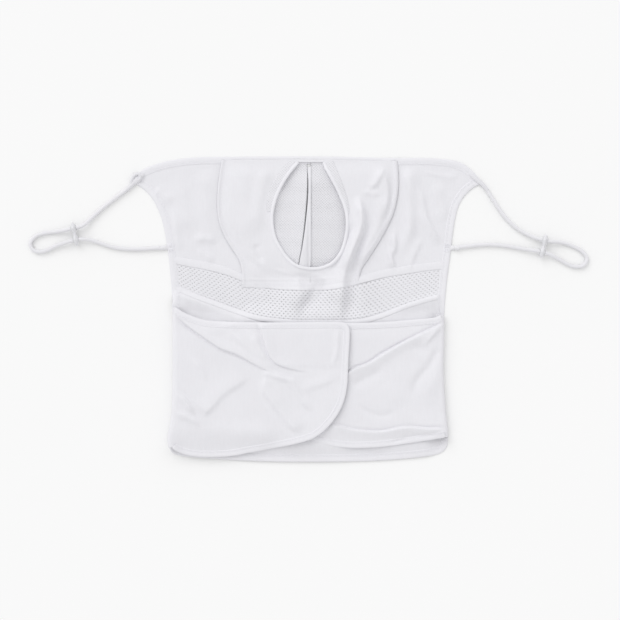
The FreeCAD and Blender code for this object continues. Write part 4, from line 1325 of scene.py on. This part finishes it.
def opening_facing(name, outer, rim):
    """A crescent of mesh knit beside the opening's upper rim."""
    inner = rim[(rim[:, 1] < outer[0, 1]) & (rim[:, 1] > outer[-1, 1])]
    inner = inner[np.argsort(inner[:, 1])]
    places, faces = triangulate(ring_of(outer, inner), 0.8)

    def laid(spots, height):
        away = np.abs(nearest(spots, outer)[0])
        return on_shield(spots, height + 0.1 + 0.25 * ramp(away / 1.2))

    facing = two_faced(name, places, faces, laid, DIMPLED_CLOTH, 0.35)
    on_cover(facing, "mesh_knit", "opening_facing")


mouth_shield()
opening_binding()
opening_facing("opening_facing_left", FACING_LEFT, RIM[: len(RIM) // 2])
opening_facing("opening_facing_right", FACING_RIGHT, RIM[len(RIM) // 2:])
for name, path, inward in (("left", SHIELD_LEFT, 1), ("right", SHIELD_RIGHT, -1),
                           ("low", SHIELD_LOW, 1)):
    row = inset(path, inward * 3.4)
    on_cover(stitches(f"shield_{name}_stitches", [row], on_shield, THREAD, height=0.02), "thread")

# --- The neck wings ---


CLOTH_UNDER = 4.0  # how far a wing's cloth reaches past its fold, under the garment's edge


def neck_wing(side_name, wing, edge, creases):
    """A wing with its side fold in one piece of cloth, from under the garment's edge to its free
    edge."""
    free = wing.flat(edge)
    start, end = free[0], free[-1]
    inner = -wing.quarter - CLOTH_UNDER
    down = np.linspace(end, (inner, end[1]), 14)[1:]
    up = np.linspace((inner, start[1]), start, 14)[:-1]
    creases = [wing.flat(smooth(crease)) for crease in creases]
    places, faces = triangulate(ring_of(free, down, up), 1.15, lines=creases)
    cloth = two_faced(f"neck_wing_{side_name}_cloth", places, faces, wing.place, KNIT_CLOTH)
    roll = hem(f"wing_hem_{side_name}_roll", free, wing.place, HEM_CLOTH, WING_HEM, -1)
    rows = [inset(free, -across * WING_HEM / HEM) for across in STITCH_ROWS]
    thread = stitches(f"wing_hem_{side_name}_stitches", rows, wing.place, THREAD)
    for piece, slot in ((cloth, "knit"), (roll, "hem_knit"), (thread, "thread")):
        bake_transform(piece)
    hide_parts(f"neck_wing_{side_name}")
    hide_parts(f"wing_hem_{side_name}")


PATCH_HALF, PATCH_ROUND = 28, 4  # half a fastener patch's width, and how round its corners are
PATCH_FROM, PATCH_TO = -50, -17  # its lower and upper edges


def fastener_patch(node, wing, body, height, thick, material, slot):
    """A fastener patch sewn to a wing, with rounded corners."""
    corners = []
    low, high = PATCH_FROM + PATCH_ROUND, PATCH_TO - PATCH_ROUND
    for x, centre_y, start in ((1, low, -90), (1, high, 0), (-1, high, 90), (-1, low, 180)):
        centre_x = x * (PATCH_HALF - PATCH_ROUND)
        corners += [(centre_x + PATCH_ROUND * math.cos(a), centre_y + PATCH_ROUND * math.sin(a))
                    for a in np.radians(range(start, start + 91, 15))]
    ring = np.array(corners)
    outline = []
    for a, b in zip(ring, np.roll(ring, -1, axis=0)):
        outline.append(a)
        length = np.linalg.norm(b - a)
        if length > 3:
            outline += list(np.linspace(a, b, int(length / 1.5))[1:-1])
    places, faces = triangulate(wing.flat(np.array(outline)), 1.5)

    def placed(spots, extra):
        return wing.place(spots, height + extra)

    attach(two_faced(f"{node}_tape", places, faces, placed, material, thick), body, slot, node)


neck_wing("left", LEFT_WING, LEFT_WING_EDGE, (LEFT_CREASE[1:], PATCH_EDGE))
neck_wing("right", RIGHT_WING, RIGHT_WING_EDGE, (RIGHT_CREASE[1:], RIGHT_LOW_CREASE[:-1]))
fastener_patch("hook_patch", LEFT_WING, "left_wing", -KNIT, 0.55, HOOKS, "hook_tape")
fastener_patch("loop_patch", RIGHT_WING, "right_wing", 0.6, 0.6, LOOPS, "loop_tape")
